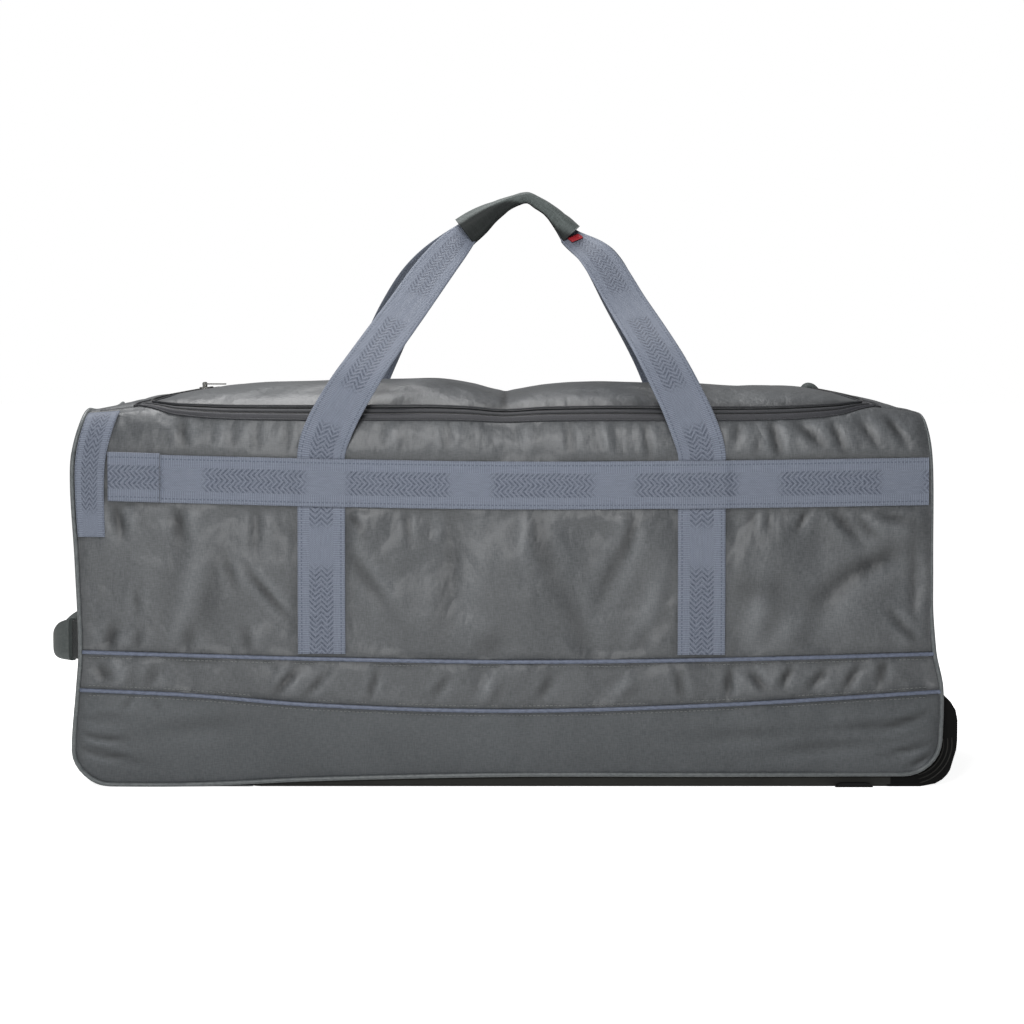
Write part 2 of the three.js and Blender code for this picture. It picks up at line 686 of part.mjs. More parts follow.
// One leg of a carry handle: sewn to the wall, free above the belt, ending at the grip
function handleLeg(name) {
  const face = name.includes("front") ? 1 : -1;
  const side = name.includes("left") ? -1 : 1;
  const x = side < 0 ? STRAP_LEFT : STRAP_RIGHT;
  const inward = new THREE.Vector3(-side, 0, 0);
  const { centre: last, flap, along, slope } = legEnd(side, face);
  const stations = [];
  const lowest = face > 0 ? frontLine("high", x) + ACCENT_CORD + 3.4 : 134;
  for (const t of evenly(PANEL_STATIONS)) {
    const girth = lerp(lowest, 345, t);
    const around = face > 0 ? girth : 2 * HALF_GIRTH - girth;
    const reach = side * (WEBBING / 2);
    const across = onBag(x - reach, around, 0).sub(onBag(x + reach, around, 0));
    const along = onBag(x, around + face * 2, 0).sub(onBag(x, around - face * 2, 0)).normalize();
    const centre = onBag(x, around, LAY + WEBBING_THICK / 2);
    stations.push({ centre, across: across.normalize(), width: WEBBING, along });
  }
  for (const row of LEGS.filter((leg) => leg.leg === name)) {
    const centre = new THREE.Vector3(row.x, row.y, row.z);
    const across = inward.clone().lerp(flap, row.turn);
    stations.push({ centre, across, width: lerp(WEBBING, WEBBING * 0.84, row.turn) });
  }
  stations.push({ centre: last, across: flap, width: slope * 1.05, along });
  const smooth = [];
  for (let i = 0; i + 1 < stations.length; i++) {
    const parts = i < PANEL_STATIONS ? 1 : 3;
    const p = [-1, 0, 1, 2].map((k) => stations[clamp(i + k, 0, stations.length - 1)].centre);
    const curve = new THREE.CatmullRomCurve3(p, false, "centripetal");
    for (let k = 0; k < parts; k++) {
      const t = k / parts;
      smooth.push({
        along: i < PANEL_STATIONS ? stations[i].along : undefined,
        centre: curve.getPoint((1 + t) / 3),
        across: stations[i].across.clone().lerp(stations[i + 1].across, t),
        width: lerp(stations[i].width, stations[i + 1].width, t),
      });
    }
  }
  smooth.push(stations[stations.length - 1]);
  return ribbon(smooth, WEBBING_THICK);
}

// Mid line of the tow handle
function towLine(y) {
  const out = tableAt(TOW, "y", "out", y);
  return new THREE.Vector3(leftSeam(TOW_SEAM) - out, y, tableAt(TOW, "y", "z", y));
}

// Webbing of the tow handle, or the sleeve round it, made wider by a margin
function towRibbon(fromY, toY, count, margin, thick) {
  const up = new THREE.Vector3(0, 0, 1);
  const stations = evenly(count).map((t) => {
    const y = lerp(fromY, toY, t);
    return { centre: towLine(y), across: up, width: tableAt(TOW, "y", "wide", y) + margin };
  });
  return ribbon(stations, thick);
}

// Solid arithmetic on closed geometry
function toSolid(geometry) {
  const bare = new THREE.BufferGeometry();
  bare.setAttribute("position", geometry.getAttribute("position"));
  bare.setIndex(geometry.getIndex());
  const merged = mergeVertices(bare, 1e-3);
  const mesh = new wasm.Mesh({
    numProp: 3,
    vertProperties: new Float32Array(merged.getAttribute("position").array),
    triVerts: new Uint32Array(merged.getIndex().array),
  });
  return new wasm.Manifold(mesh);
}

function toGeometry(solid) {
  const mesh = solid.getMesh();
  const geometry = new THREE.BufferGeometry();
  geometry.setAttribute("position", new THREE.BufferAttribute(mesh.vertProperties, 3));
  geometry.setIndex(new THREE.BufferAttribute(mesh.triVerts, 1));
  return geometry;
}

function box(x0, x1, y0, y1, z0, z1) {
  const geometry = new THREE.BoxGeometry(x1 - x0, y1 - y0, z1 - z0);
  return geometry.translate((x0 + x1) / 2, (y0 + y1) / 2, (z0 + z1) / 2);
}

// Flat outline in XZ pushed through from y0 to y1
function throughDepth(rows, y0, y1) {
  const shape = new THREE.Shape(rows.map((row) => new THREE.Vector2(row.x, row.z)));
  const geometry = new THREE.ExtrudeGeometry(shape, { depth: y1 - y0, bevelEnabled: false });
  return geometry.rotateX(Math.PI / 2).translate(0, y1, 0);
}

function pin(radius, y0, y1, x, z, sides) {
  const geometry = new THREE.CylinderGeometry(radius, radius, y1 - y0, sides);
  return geometry.translate(x, (y0 + y1) / 2, z);
}

// Housing with a well for the wheel, open below and at the end, and a hole for the axle
function wheelHousing(side) {
  const lo = side < 0 ? -HOUSING_OUT : HOUSING_IN;
  const hi = side < 0 ? -HOUSING_IN : HOUSING_OUT;
  const mid = side * WHEEL_Y;
  const well = WHEEL_HALF + 3;
  const clear = WHEEL_RADIUS + 2;
  const block = toSolid(throughDepth(HOUSING, lo, hi));
  const round = toSolid(pin(clear, mid - well, mid + well, WHEEL_X, WHEEL_Z, 28));
  const mouth = toSolid(box(WHEEL_X, 480, mid - well, mid + well, -RISE, WHEEL_Z + clear));
  const below = toSolid(box(WHEEL_X - clear, 480, mid - well, mid + well, -RISE, WHEEL_Z));
  const hole = toSolid(pin(AXLE_RADIUS + 0.4, lo - 1, hi + 1, WHEEL_X, WHEEL_Z, 16));
  return toGeometry(block.subtract(round).subtract(mouth).subtract(below).subtract(hole));
}

function wheelGeometry(side) {
  const half = WHEEL_PROFILE.map((row) => new THREE.Vector2(row.radius, -row.off));
  const other = WHEEL_PROFILE.map((row) => new THREE.Vector2(row.radius, row.off)).reverse();
  const profile = [...half, ...other, half[0]];
  return new THREE.LatheGeometry(profile, 16).translate(WHEEL_X, side * WHEEL_Y, WHEEL_Z);
}

// Stiff base with softened edges
function basePanel() {
  const shape = new THREE.Shape();
  const r = 12;
  const [x0, x1, h] = [BASE_LEFT + BASE_EDGE, BASE_RIGHT - BASE_EDGE, BASE_HALF - BASE_EDGE];
  shape.moveTo(x0 + r, -h).lineTo(x1, -h).lineTo(x1, h).lineTo(x0 + r, h);
  shape.absarc(x0 + r, h - r, r, Math.PI / 2, Math.PI, false);
  shape.absarc(x0 + r, -h + r, r, Math.PI, Math.PI * 1.5, false);
  return new THREE.ExtrudeGeometry(shape, {
    depth: BASE_THICK - 2 * BASE_EDGE,
    bevelThickness: BASE_EDGE,
    bevelSize: BASE_EDGE,
    bevelSegments: 1,
    curveSegments: 3,
  }).translate(0, 0, BASE_EDGE - RISE);
}

function baseFoot(side) {
  const rows = [
    { x: 345, z: -5.8 },
    { x: 385, z: -5.8 },
    { x: 382, z: -2.4 },
    { x: 378, z: -1.2 },
    { x: 352, z: -1.2 },
    { x: 348, z: -2.4 },
  ];
  const near = BASE_HALF + 0.4;
  const far = BASE_HALF + 6;
  return side < 0 ? throughDepth(rows, -far, -near) : throughDepth(rows, near, far);
}

// Zip slider on the left return: its bar runs along the zip
const SLIDER_GIRTH = 587;
const sliderAt = onBag(zipLeft(SLIDER_GIRTH), SLIDER_GIRTH, 0.3);
const sliderNext = onBag(zipLeft(SLIDER_GIRTH + 10), SLIDER_GIRTH + 10, 0.3);
const sliderTurn = Math.atan2(sliderNext.x - sliderAt.x, sliderNext.y - sliderAt.y);
const BAR_HEIGHT = 6.4;

function placeSlider(geometry) {
  return geometry.rotateZ(-sliderTurn).translate(sliderAt.x, sliderAt.y, sliderAt.z);
}

function zipSlider() {
  const lower = toSolid(box(-4.5, 4.5, -6, 6, 0, 3));
  const near = toSolid(box(-1.3, 1.3, -5, -3.4, 2, BAR_HEIGHT + 1.2));
  const far = toSolid(box(-1.3, 1.3, 3.4, 5, 2, BAR_HEIGHT + 1.2));
  const bar = toSolid(pin(0.9, -4, 4, 0, BAR_HEIGHT, 10));
  return placeSlider(toGeometry(lower.add(near).add(far).add(bar)));
}

function zipPull() {
  const knuckle = toSolid(pin(2.3, -2.8, 2.8, 0, BAR_HEIGHT, 14));
  const blade = toSolid(box(1.6, 24, -2.6, 2.6, BAR_HEIGHT - 0.7, BAR_HEIGHT + 0.7));
  const eye = toSolid(pin(1.4, -4, 4, 0, BAR_HEIGHT, 14));
  return placeSlider(toGeometry(knuckle.add(blade).subtract(eye)));
}

// Folded cloth over the right end of the zip
function zipEndTab() {
  return sheetGeometry(evenly(2), evenly(2), (u, v, inner) => {
    const girth = lerp(578, 596, v);
    const x = zipRight(girth) + lerp(-8, 8, u);
    const puff = u === 0.5 ? 2.2 : 0;
    return onBag(x, girth, inner ? 0.4 : 3.4 + puff);
  });
}

// Small folded tag on the front right strap, just out of the wrap
function gripTag() {
  const { centre, flap } = legEnd(1, 1);
  const next = LEGS.filter((row) => row.leg === "handle_front_right").pop();
  const way = new THREE.Vector3(next.x, next.y, next.z).sub(centre).normalize();
  const across = flap.clone().addScaledVector(way, -flap.dot(way)).normalize();
  const face = across.clone().cross(way);
  const lift = (WEBBING_THICK + TAG_THICK) / 2 + 2 * LAY;
  const place = centre.clone().addScaledVector(way, TAG_OUT).addScaledVector(face, lift);
  const turn = new THREE.Matrix4().makeBasis(way, face, across);
  return box(-4.5, 4.5, -TAG_THICK / 2, TAG_THICK / 2, -7, 7).applyMatrix4(turn.setPosition(place));
}

const bag = new THREE.Group();
bag.name = "kit_bag";

function add(name, geometry, color, roughness, metalness = 0) {
  const material = new THREE.MeshStandardMaterial({ color, roughness, metalness });
  material.name = name;
  const mesh = new THREE.Mesh(geometry, material);
  mesh.name = name;
  bag.add(mesh);
}

const THIN_CLOTH = 0x5f6264;
const HEAVY_CLOTH = 0x55585b;
const GREY_CORD = 0x6c7174;
const BLUE_GREY = 0x6f7787;
const DARK_WRAP = 0x45494a;
const BLACK = 0x1d1e1f;

// Cloth
const wide = evenly(34).map(closerAtEnds);
const level = (name, gap) => (x) => frontLine(name, x) + gap;
const foot = (x, u) => lowerEdge(x, u) + SEAM_INSET;
const beltLow = level("belt", -WEBBING - 4);
const beltHigh = level("belt", 4);
const upperLines = [
  ...linesBetween(level("high", ACCENT_INSET), beltLow, 6),
  level("belt", -WEBBING / 2),
  ...linesBetween(beltHigh, upperEdge, 3),
];
add("front_upper_panel", wrapPanel(wide, upperLines), THIN_CLOTH, 0.6);
const bandLines = linesBetween(level("low", ACCENT_INSET), level("high", -ACCENT_INSET), 2);
add("front_band_panel", wrapPanel(wide, bandLines), THIN_CLOTH, 0.65);
const lowerLines = linesBetween(foot, level("low", -ACCENT_INSET), 3);
add("front_lower_panel", wrapPanel(cornerColumns(20), lowerLines), HEAVY_CLOTH, 0.85);
const backFoot = (x, u) => 2 * HALF_GIRTH - foot(x, u);
const backFold = [0, 0.25, 0.5, 0.75].map((t) => () => 2 * HALF_GIRTH - SIDE - FOLD * (1 - t));
const backWall = [SIDE, 270, 205, 140].map((girth) => () => 2 * HALF_GIRTH - girth);
const backHem = linesBetween(() => 2 * HALF_GIRTH - 98, backFoot, 2);
const backLines = [() => HINGE_GIRTH + 0.4, ...backFold, ...backWall, ...backHem];
add("back_panel", wrapPanel(cornerColumns(8), backLines), HEAVY_CLOTH, 0.8);
add("top_strip_left", topStrip(-1), THIN_CLOTH, 0.6);
add("top_strip_right", topStrip(1), THIN_CLOTH, 0.6);
add("lid_panel", lidPanel(), THIN_CLOTH, 0.6);
const upright = [100, 150, 200, 250, 300, 340, 358, 371, 378, 381].map((z) => ({ z }));
const turned = [0, 0.25, 0.5, 0.75, 1].map((t) => ({ corner: t * QUARTER }));
const under = [BASE_LEFT - 0.5 - (leftSeam(50) + CORNER_RADIUS), 60, 30];
const flat = under.map((reach) => ({ corner: -reach }));
add("left_end_panel", endPanel(-1, [...flat, ...turned, { z: 72 }, ...upright]), HEAVY_CLOTH, 0.8);
const rightRows = [{ z: KICK_TOP + 4.8 }, ...upright.slice(1)];
add("right_end_panel", endPanel(1, rightRows), HEAVY_CLOTH, 0.8);

// Piping
add("edge_piping_front", edgeCord(1, 14), GREY_CORD, 0.6);
add("edge_piping_back", edgeCord(-1, 10), GREY_CORD, 0.6);
add("edge_piping_top_left", topCord(-1), GREY_CORD, 0.6);
add("edge_piping_top_right", topCord(1), GREY_CORD, 0.6);
add("accent_piping_upper", accentCord("high"), BLUE_GREY, 0.7);
add("accent_piping_lower", accentCord("low"), BLUE_GREY, 0.7);
add("accent_piping_end", accentEnd(), BLUE_GREY, 0.7);

// Base and wheels
const kickFlat = BASE_RIGHT + 3.5 - (rightSeam(50) - CORNER_RADIUS);
const kickRows = [{ corner: kickFlat }, ...turned, { z: 66 }, { z: KICK_TOP - 1.6 }];
add("base_panel", basePanel(), BLACK, 0.6);
add("right_kick_panel", endPanel(1, kickRows, HOUSING_IN - 0.5), BLACK, 0.6);
add("wheel_housing_front", wheelHousing(-1), BLACK, 0.5);
add("wheel_housing_back", wheelHousing(1), BLACK, 0.5);
for (const [name, side] of [["front", -1], ["back", 1]]) {
  const lo = side * WHEEL_Y - 20 + 0.5;
  const hi = side * WHEEL_Y + 20 - 0.5;
  add(`wheel_${name}`, wheelGeometry(side), 0x26282a, 0.8);
  add(`axle_${name}`, pin(AXLE_RADIUS, lo, hi, WHEEL_X, WHEEL_Z, 16), 0x8d9092, 0.35, 0.9);
  add(`base_foot_${name}`, baseFoot(side), BLACK, 0.5);
}

// Webbing and handles
add("belt_front", beltGeometry(), BLUE_GREY, 0.75);
add("belt_tab", beltTab(), BLUE_GREY, 0.75);
add("corner_patch", cornerPatch(), BLUE_GREY, 0.75);
const legNames = [...new Set(LEGS.map((row) => row.leg))];
for (const name of legNames) {
  add(name, handleLeg(name), BLUE_GREY, 0.75);
}
add("grip_wrap", gripWrap(), DARK_WRAP, 0.85);
add("grip_tag", gripTag(), 0xa8333a, 0.7);
const towStrap = towRibbon(-118, 118, 20, 0, WEBBING_THICK);
const towSlot = toSolid(towRibbon(-84, 84, 12, 1, WEBBING_THICK + 1.4));
const towSleeve = toSolid(towRibbon(-72, 72, 10, 5, 12));
add("tow_handle_strap", towStrap, DARK_WRAP, 0.8);
add("tow_handle_pad", toGeometry(towSleeve.subtract(towSlot)), DARK_WRAP, 0.85);

// Zip
add("zip_tape_body", zipTape(-ZIP_HALF + ZIP_GROOVE, -ZIP_SLIT), 0x303135, 0.8);
add("zip_tape_lid", zipTape(ZIP_SLIT, ZIP_HALF - ZIP_GROOVE), 0x303135, 0.8);
add("zip_slider", zipSlider(), 0xb9bcbe, 0.3, 1);
add("zip_pull", zipPull(), 0xb9bcbe, 0.3, 1);
add("zip_end_tab", zipEndTab(), 0x26272a, 0.8);

bag.position.set(SHIFT_X, SHIFT_Y, RISE);
export default bag;
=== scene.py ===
# %% [markdown]
# # A wheeled goalkeeper kit bag
#
# The bag is a long duffel of thin grey polyester. Blue-grey webbing makes its belt and its carry
# handles, a U-shaped zip opens the lid, and two wheels carry the right end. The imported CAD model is
# the frame: every piece below is built in that frame, in the same place, and dresses or replaces a
# CAD solid.

# %% Load the frame
import math
import bpy
import numpy as np
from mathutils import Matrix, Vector, noise


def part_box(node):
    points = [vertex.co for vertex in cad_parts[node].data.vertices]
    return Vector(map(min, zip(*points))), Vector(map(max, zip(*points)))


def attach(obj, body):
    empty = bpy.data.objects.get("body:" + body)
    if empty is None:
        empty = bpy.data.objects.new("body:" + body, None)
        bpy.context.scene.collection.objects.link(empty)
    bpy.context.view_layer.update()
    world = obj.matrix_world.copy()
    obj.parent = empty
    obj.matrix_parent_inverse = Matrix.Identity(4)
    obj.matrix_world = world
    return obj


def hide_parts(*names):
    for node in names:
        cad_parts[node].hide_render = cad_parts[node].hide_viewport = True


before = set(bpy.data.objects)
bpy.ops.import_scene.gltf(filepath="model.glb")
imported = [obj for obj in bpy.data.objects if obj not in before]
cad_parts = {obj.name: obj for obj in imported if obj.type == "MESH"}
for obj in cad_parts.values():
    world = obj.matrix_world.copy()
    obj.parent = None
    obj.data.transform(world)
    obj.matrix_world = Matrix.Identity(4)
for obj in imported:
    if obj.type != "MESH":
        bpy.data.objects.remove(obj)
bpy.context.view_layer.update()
scene = bpy.context.scene
MM = 0.001

# %% [markdown]
# The bag's own drawing has its middle on the base board, so one shift carries every size below into
# the frame. The shift is read from the base board's box, which is the one flat and exact piece.

# %% Place the drawing in the frame
BASE_MIDDLE = (65.25, 0.0)  # middle of the base board in the bag's own drawing, mm
BASE_TOP = 8.0  # top of the base board there, mm
base_low, base_high = (np.array(corner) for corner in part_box("base_panel"))
base_place = np.append((base_low + base_high)[:2] / 2, base_high[2])
ORIGIN = base_place - np.array([*BASE_MIDDLE, BASE_TOP]) * MM
print("drawing sits at", ORIGIN.round(5))

# %% [markdown]
# The photograph is a catalogue picture: a long lens, about three metres away, a little above the
# lid. The camera height is where the top of the bag shows as a thin strip, and the lens follows from
# the width of the webbing, which is 50 mm on such bags.

# %% Camera
CAMERA_PLACE = (5.45, -3190.0, 475.8)  # mm in the bag's own drawing
CAMERA_PITCH = -3.645  # degrees
CAMERA_LENS = 101.71  # mm on a 36 mm wide sensor
camera_data = bpy.data.cameras.new("catalogue_camera")
camera_data.lens = CAMERA_LENS
camera_data.sensor_width = 36.0
camera_data.clip_end = 50.0
camera = bpy.data.objects.new("catalogue_camera", camera_data)
scene.collection.objects.link(camera)
camera.location = Vector(CAMERA_PLACE) * MM + Vector(ORIGIN)
camera.rotation_euler = (math.radians(90 + CAMERA_PITCH), 0, 0)
scene.camera = camera
print("camera at", tuple(round(v, 3) for v in camera.location))

# %% [markdown]
# Catalogue light is soft and comes from everywhere: a white room, one large soft box over the lid,
# one beside the camera that fills the front, and two smaller ones at the left and close in front that
# draw the folds. The Standard view keeps the colours as they are set, so white paper stays white.

# %% Light
ROOM_LIGHT = 0.1  # light from the white room; the camera still sees it white
scene.view_settings.view_transform = "Standard"
world = bpy.data.worlds.new("white_room")
scene.world = world
world.use_nodes = True
room = world.node_tree.nodes["Background"]
room.inputs["Color"].default_value = (1, 1, 1, 1)
ray = world.node_tree.nodes.new("ShaderNodeLightPath")
seen = world.node_tree.nodes.new("ShaderNodeMapRange")
seen.inputs["To Min"].default_value = ROOM_LIGHT
world.node_tree.links.new(ray.outputs["Is Camera Ray"], seen.inputs["Value"])
world.node_tree.links.new(seen.outputs["Result"], room.inputs["Strength"])

# place and target in metres, size in metres, power in watts
SOFT_BOXES = [
    {"name": "overhead_box", "place": (-0.38, 0.4, 1.7), "aim": (-0.12, 0.0, 0.38), "size": (1.1, 0.7), "watts": 21},
    {"name": "left_box", "place": (-1.1, -1.5, 1.1), "aim": (-0.05, -0.15, 0.25), "size": (0.45, 0.55), "watts": 1.5},
    {"name": "front_box", "place": (-0.05, -0.95, 1.1), "aim": (-0.03, -0.15, 0.25), "size": (0.4, 0.3), "watts": 6},
    {"name": "camera_box", "place": (-0.45, -3.2, 1.15), "aim": (-0.04, -0.15, 0.25), "size": (0.5, 0.5), "watts": 28},
]
for row in SOFT_BOXES:
    light = bpy.data.lights.new(row["name"], "AREA")
    light.shape = "RECTANGLE"
    light.size, light.size_y = row["size"]
    light.energy = row["watts"]
    lamp = bpy.data.objects.new(row["name"], light)
    lamp.visible_camera = False
    scene.collection.objects.link(lamp)
    lamp.location = row["place"]
    lamp.rotation_euler = (Vector(row["aim"]) - lamp.location).to_track_quat("-Z", "Y").to_euler()
print("soft boxes:", [row["name"] for row in SOFT_BOXES])

# %% [markdown]
# A node material is a small graph. One helper adds any node with its settings, its input values and
# its links, so each finish below reads as a list of what feeds what. Colours are written as sRGB hex
# values, as a colour picker shows them, and one function turns them to the linear values that light
# is counted in.

# %% Node and colour helpers
def linear(hex_colour):
    """Linear RGBA of an sRGB hex value."""
    channels = [int(hex_colour[i:i + 2], 16) / 255 for i in (1, 3, 5)]
    return [c / 12.92 if c <= 0.04045 else ((c + 0.055) / 1.055) ** 2.4 for c in channels] + [1.0]


def add_node(tree, kind, settings=None, inputs=None, links=None):
    """One shader node with its settings, input values and incoming links."""
    node = tree.nodes.new("ShaderNode" + kind)
    for key, value in (settings or {}).items():
        setattr(node, key, value)
    for key, value in (inputs or {}).items():
        node.inputs[key].default_value = value
    for key, socket in (links or {}).items():
        tree.links.new(socket, node.inputs[key])
    return node


def calc(tree, operation, *values):
    """Result of a maths node, whose values are numbers or sockets."""
    numbers = {i: value for i, value in enumerate(values) if isinstance(value, (int, float))}
    sockets = {i: value for i, value in enumerate(values) if i not in numbers}
    return add_node(tree, "Math", {"operation": operation}, numbers, sockets).outputs[0]


def wave(tree, value, length_mm):
    """Sine of a value in metres, one turn to the length."""
    return calc(tree, "SINE", calc(tree, "MULTIPLY", value, 2 * math.pi / (length_mm * MM)))


def ranged(tree, value, low, high, to_low=0.0, to_high=1.0):
    """A value carried from one range to another and held at its ends."""
    inputs = {"From Min": low, "From Max": high, "To Min": to_low, "To Max": to_high}
    return add_node(tree, "MapRange", inputs=inputs, links={"Value": value}).outputs["Result"]


def fine_noise(tree, place, sizes_mm, turn=0.0, **inputs):
    """Noise with the given sizes: two over a flat cut, three through a solid piece."""
    scale = [1 / (size * MM) for size in sizes_mm]
    flat = len(scale) == 2
    mapped = {"Scale": scale + [1] if flat else scale, "Rotation": (0, 0, turn)}
    spread = add_node(tree, "Mapping", inputs=mapped, links={"Vector": place}).outputs["Vector"]
    return add_node(
        tree, "TexNoise", {"noise_dimensions": "2D" if flat else "3D"}, {"Scale": 1.0, **inputs},
        {"Vector": spread}).outputs["Fac"]


def two_tones(tree, first, second, share):
    """Mix of two hex colours."""
    tones = {"Color1": linear(first), "Color2": linear(second)}
    return add_node(tree, "MixRGB", inputs=tones, links={"Fac": share}).outputs["Color"]


def laid_over(tree, below, colour, share):
    """A hex colour laid over a colour socket."""
    return add_node(
        tree, "MixRGB", inputs={"Color2": linear(colour)}, links={"Fac": share, "Color1": below}).outputs["Color"]


def bumped(tree, height, strength, deep_mm, over=None):
    """Normal of a fine relief, laid over another one if given."""
    links = {"Height": height, "Normal": over} if over else {"Height": height}
    return add_node(
        tree, "Bump", inputs={"Strength": strength, "Distance": deep_mm * MM}, links=links).outputs["Normal"]


def new_finish(name):
    """An empty material with its tree and its surface shader."""
    material = bpy.data.materials.new(name)
    material.use_nodes = True
    return material, material.node_tree, material.node_tree.nodes["Principled BSDF"]


def set_shader(tree, shader, links, values):
    """Links and constant values of a surface shader."""
    for key, socket in links.items():
        tree.links.new(socket, shader.inputs[key])
    for key, value in values.items():
        shader.inputs[key].default_value = value


print("colour check, mid grey:", round(linear("#808080")[0], 3))

# %% [markdown]
# The floor is white paper. To the camera it glows as white as the room, and less in an oval close to
# the bag: a painted contact shadow, laid where the bag's real contact shadow also falls.

# %% Paper floor
# the floor's glow is lowered inside this oval as a painted contact shadow
PAINTED_SHADOW_OVAL = (1.9, 4.2, 0)  # one over the half sizes, in metres, of the shaded oval
paper, tree, shader = new_finish("matt_white_studio_paper")
grain = add_node(tree, "TexNoise", inputs={"Scale": 3.0, "Detail": 2.0}).outputs["Fac"]
place = add_node(tree, "TexCoord").outputs["Object"]
oval = add_node(tree, "Mapping", inputs={"Scale": PAINTED_SHADOW_OVAL}, links={"Vector": place}).outputs["Vector"]
away = add_node(tree, "VectorMath", {"operation": "LENGTH"}, links={0: oval}).outputs["Value"]
by_camera = add_node(tree, "LightPath").outputs["Is Camera Ray"]
# the glow falls from 0.95 to 0.85 near the bag: painted contact shadow
glow_with_painted_shadow = add_node(
    tree, "MapRange", inputs={"To Min": 0.2},
    links={"Value": by_camera, "To Max": ranged(tree, away, 0.7, 1.3, 0.85, 0.95)}).outputs["Result"]
set_shader(
    tree, shader, {"Base Color": two_tones(tree, "#f6f6f4", "#fbfbfa", grain), "Emission Strength": glow_with_painted_shadow},
    {"Roughness": 0.9, "Emission Color": (1, 1, 1, 1)})
bpy.ops.mesh.primitive_plane_add(size=30)
floor = bpy.context.object
floor.name = "studio_floor"
floor.data.materials.append(paper)
print("floor:", floor.name)

# %% [markdown]
# Thin polyester is a plain weave of shiny filament yarn, coated inside. Its threads are about 0.4 mm
# apart, too fine to show at a millimetre to the pixel, so the weave is drawn about three times as
# coarse. Yarns vary in thickness along their length, and that gives the eye faint streaks along and
# across the cloth. The coating and the filament give a soft, wide highlight. Each panel carries a
# painted shading value that scales its colour: painted shade in folds and along seams, and a painted
# highlight on ridges. Creases too small for the mesh are noise folded about its middle, which
# gives it sharp valleys, with a finer ripple on top.

# %% Woven polyester
THREAD_SHOWN = 1.2  # mm between threads as drawn, three times the real spacing
SLUB_LENGTH = 7.0  # mm over which a yarn keeps its thickness
HANDLED_PATCH = 1000 / 9  # mm, size of the faint patches that handling leaves
CREASE_SIZE, RIPPLE_SIZE = (50, 75), (13, 18)  # mm along and across the cut


def woven_polyester(name, light, dark, roughness, sheen, crumple_mm=0.0, shine=0.5):
    """Plain woven filament cloth with yarn streaks, read from the cut pattern's own coordinates."""
    material, tree, shader = new_finish(name)
    cut = add_node(tree, "UVMap", {"uv_map": "cut"}).outputs["UV"]
    warp = fine_noise(tree, cut, (THREAD_SHOWN, SLUB_LENGTH), Detail=2.0, Roughness=0.6)
    weft = fine_noise(tree, cut, (SLUB_LENGTH, THREAD_SHOWN), Detail=2.0, Roughness=0.6)
    yarns = calc(tree, "ADD", warp, weft)
    even = ranged(tree, yarns, 0.65, 1.35)
    patches = fine_noise(tree, cut, (HANDLED_PATCH, HANDLED_PATCH), Detail=3.0)
    worn = add_node(
        tree, "MixRGB", {"blend_type": "SOFT_LIGHT"}, {"Fac": 0.22},
        {"Color1": two_tones(tree, dark, light, even), "Color2": patches}).outputs["Color"]
    # painted shading: the colour drops to 0.3 as painted shade in folds and seams and rises to 1.55 as painted
    # highlight on ridges
    painted_shading = add_node(tree, "Attribute", {"attribute_name": "painted_shading"}).outputs["Fac"]
    shaded = add_node(
        tree, "MixRGB", {"blend_type": "MULTIPLY"}, {"Fac": 1.0},
        {"Color1": worn, "Color2": ranged(tree, painted_shading, -1.0, 1.0, 0.3, 1.55)}).outputs["Color"]
    crease = fine_noise(tree, cut, CREASE_SIZE, 0.5, Detail=2.0, Roughness=0.5, Distortion=0.3)
    valleys = calc(tree, "ABSOLUTE", calc(tree, "SUBTRACT", crease, 0.5))
    ripple = fine_noise(tree, cut, RIPPLE_SIZE, 0.4, Detail=2.0)
    creased = calc(tree, "MULTIPLY_ADD", ripple, 0.3, valleys)
    set_shader(tree, shader, {
        "Base Color": shaded,
        "Roughness": ranged(tree, even, 0.0, 1.0, roughness - 0.06, roughness + 0.06),
        "Normal": bumped(tree, creased, 1.0, crumple_mm, bumped(tree, yarns, 0.25, 0.3)),
    }, {"IOR": 1.5, "Specular IOR Level": shine, "Sheen Weight": sheen, "Sheen Roughness": 0.45})
    return material


thin_cloth = woven_polyester("thin_grey_polyester_plain_woven", "#616366", "#4d5052", 0.44, 0.06, 3.0)
heavy_cloth = woven_polyester("heavy_grey_polyester_plain_woven", "#595c5f", "#464a4d", 0.52, 0.08, 2.0)
wrap_cloth = woven_polyester("dark_grey_polyester_wrap", "#4f5554", "#3d4241", 0.6, 0.05, shine=0.2)
sleeve_cloth = woven_polyester("grey_polyester_sleeve", "#666c6b", "#525857", 0.6, 0.05, shine=0.2)
print("cloths:", thin_cloth.name, heavy_cloth.name, wrap_cloth.name)

# %% [markdown]
# Luggage webbing is a narrow, thick weave. Its two borders show ribs across the length, and its
# middle is woven as a herringbone, a little darker where the weft lies on top. The ribs are about
# 0.9 mm apart in truth and are drawn at twice that so that they show. The strap's own coordinates
# carry the pattern: u runs along the strap and v across it, both in metres.

# %% Polyester webbing
RIB_SHOWN = 1.9  # mm between ribs as drawn
MIDDLE_HALF = 12.5  # mm, half width of the herringbone middle
CHEVRON_LENGTH = 5.4  # mm from one herringbone row to the next as drawn
EDGE_STITCH = 20.6  # mm from the middle to the rows of stitches
STITCH_LENGTH = 4.0  # mm from one stitch to the next
PANEL_LENGTH = 150.0  # mm of strap over which the darker weave comes and goes


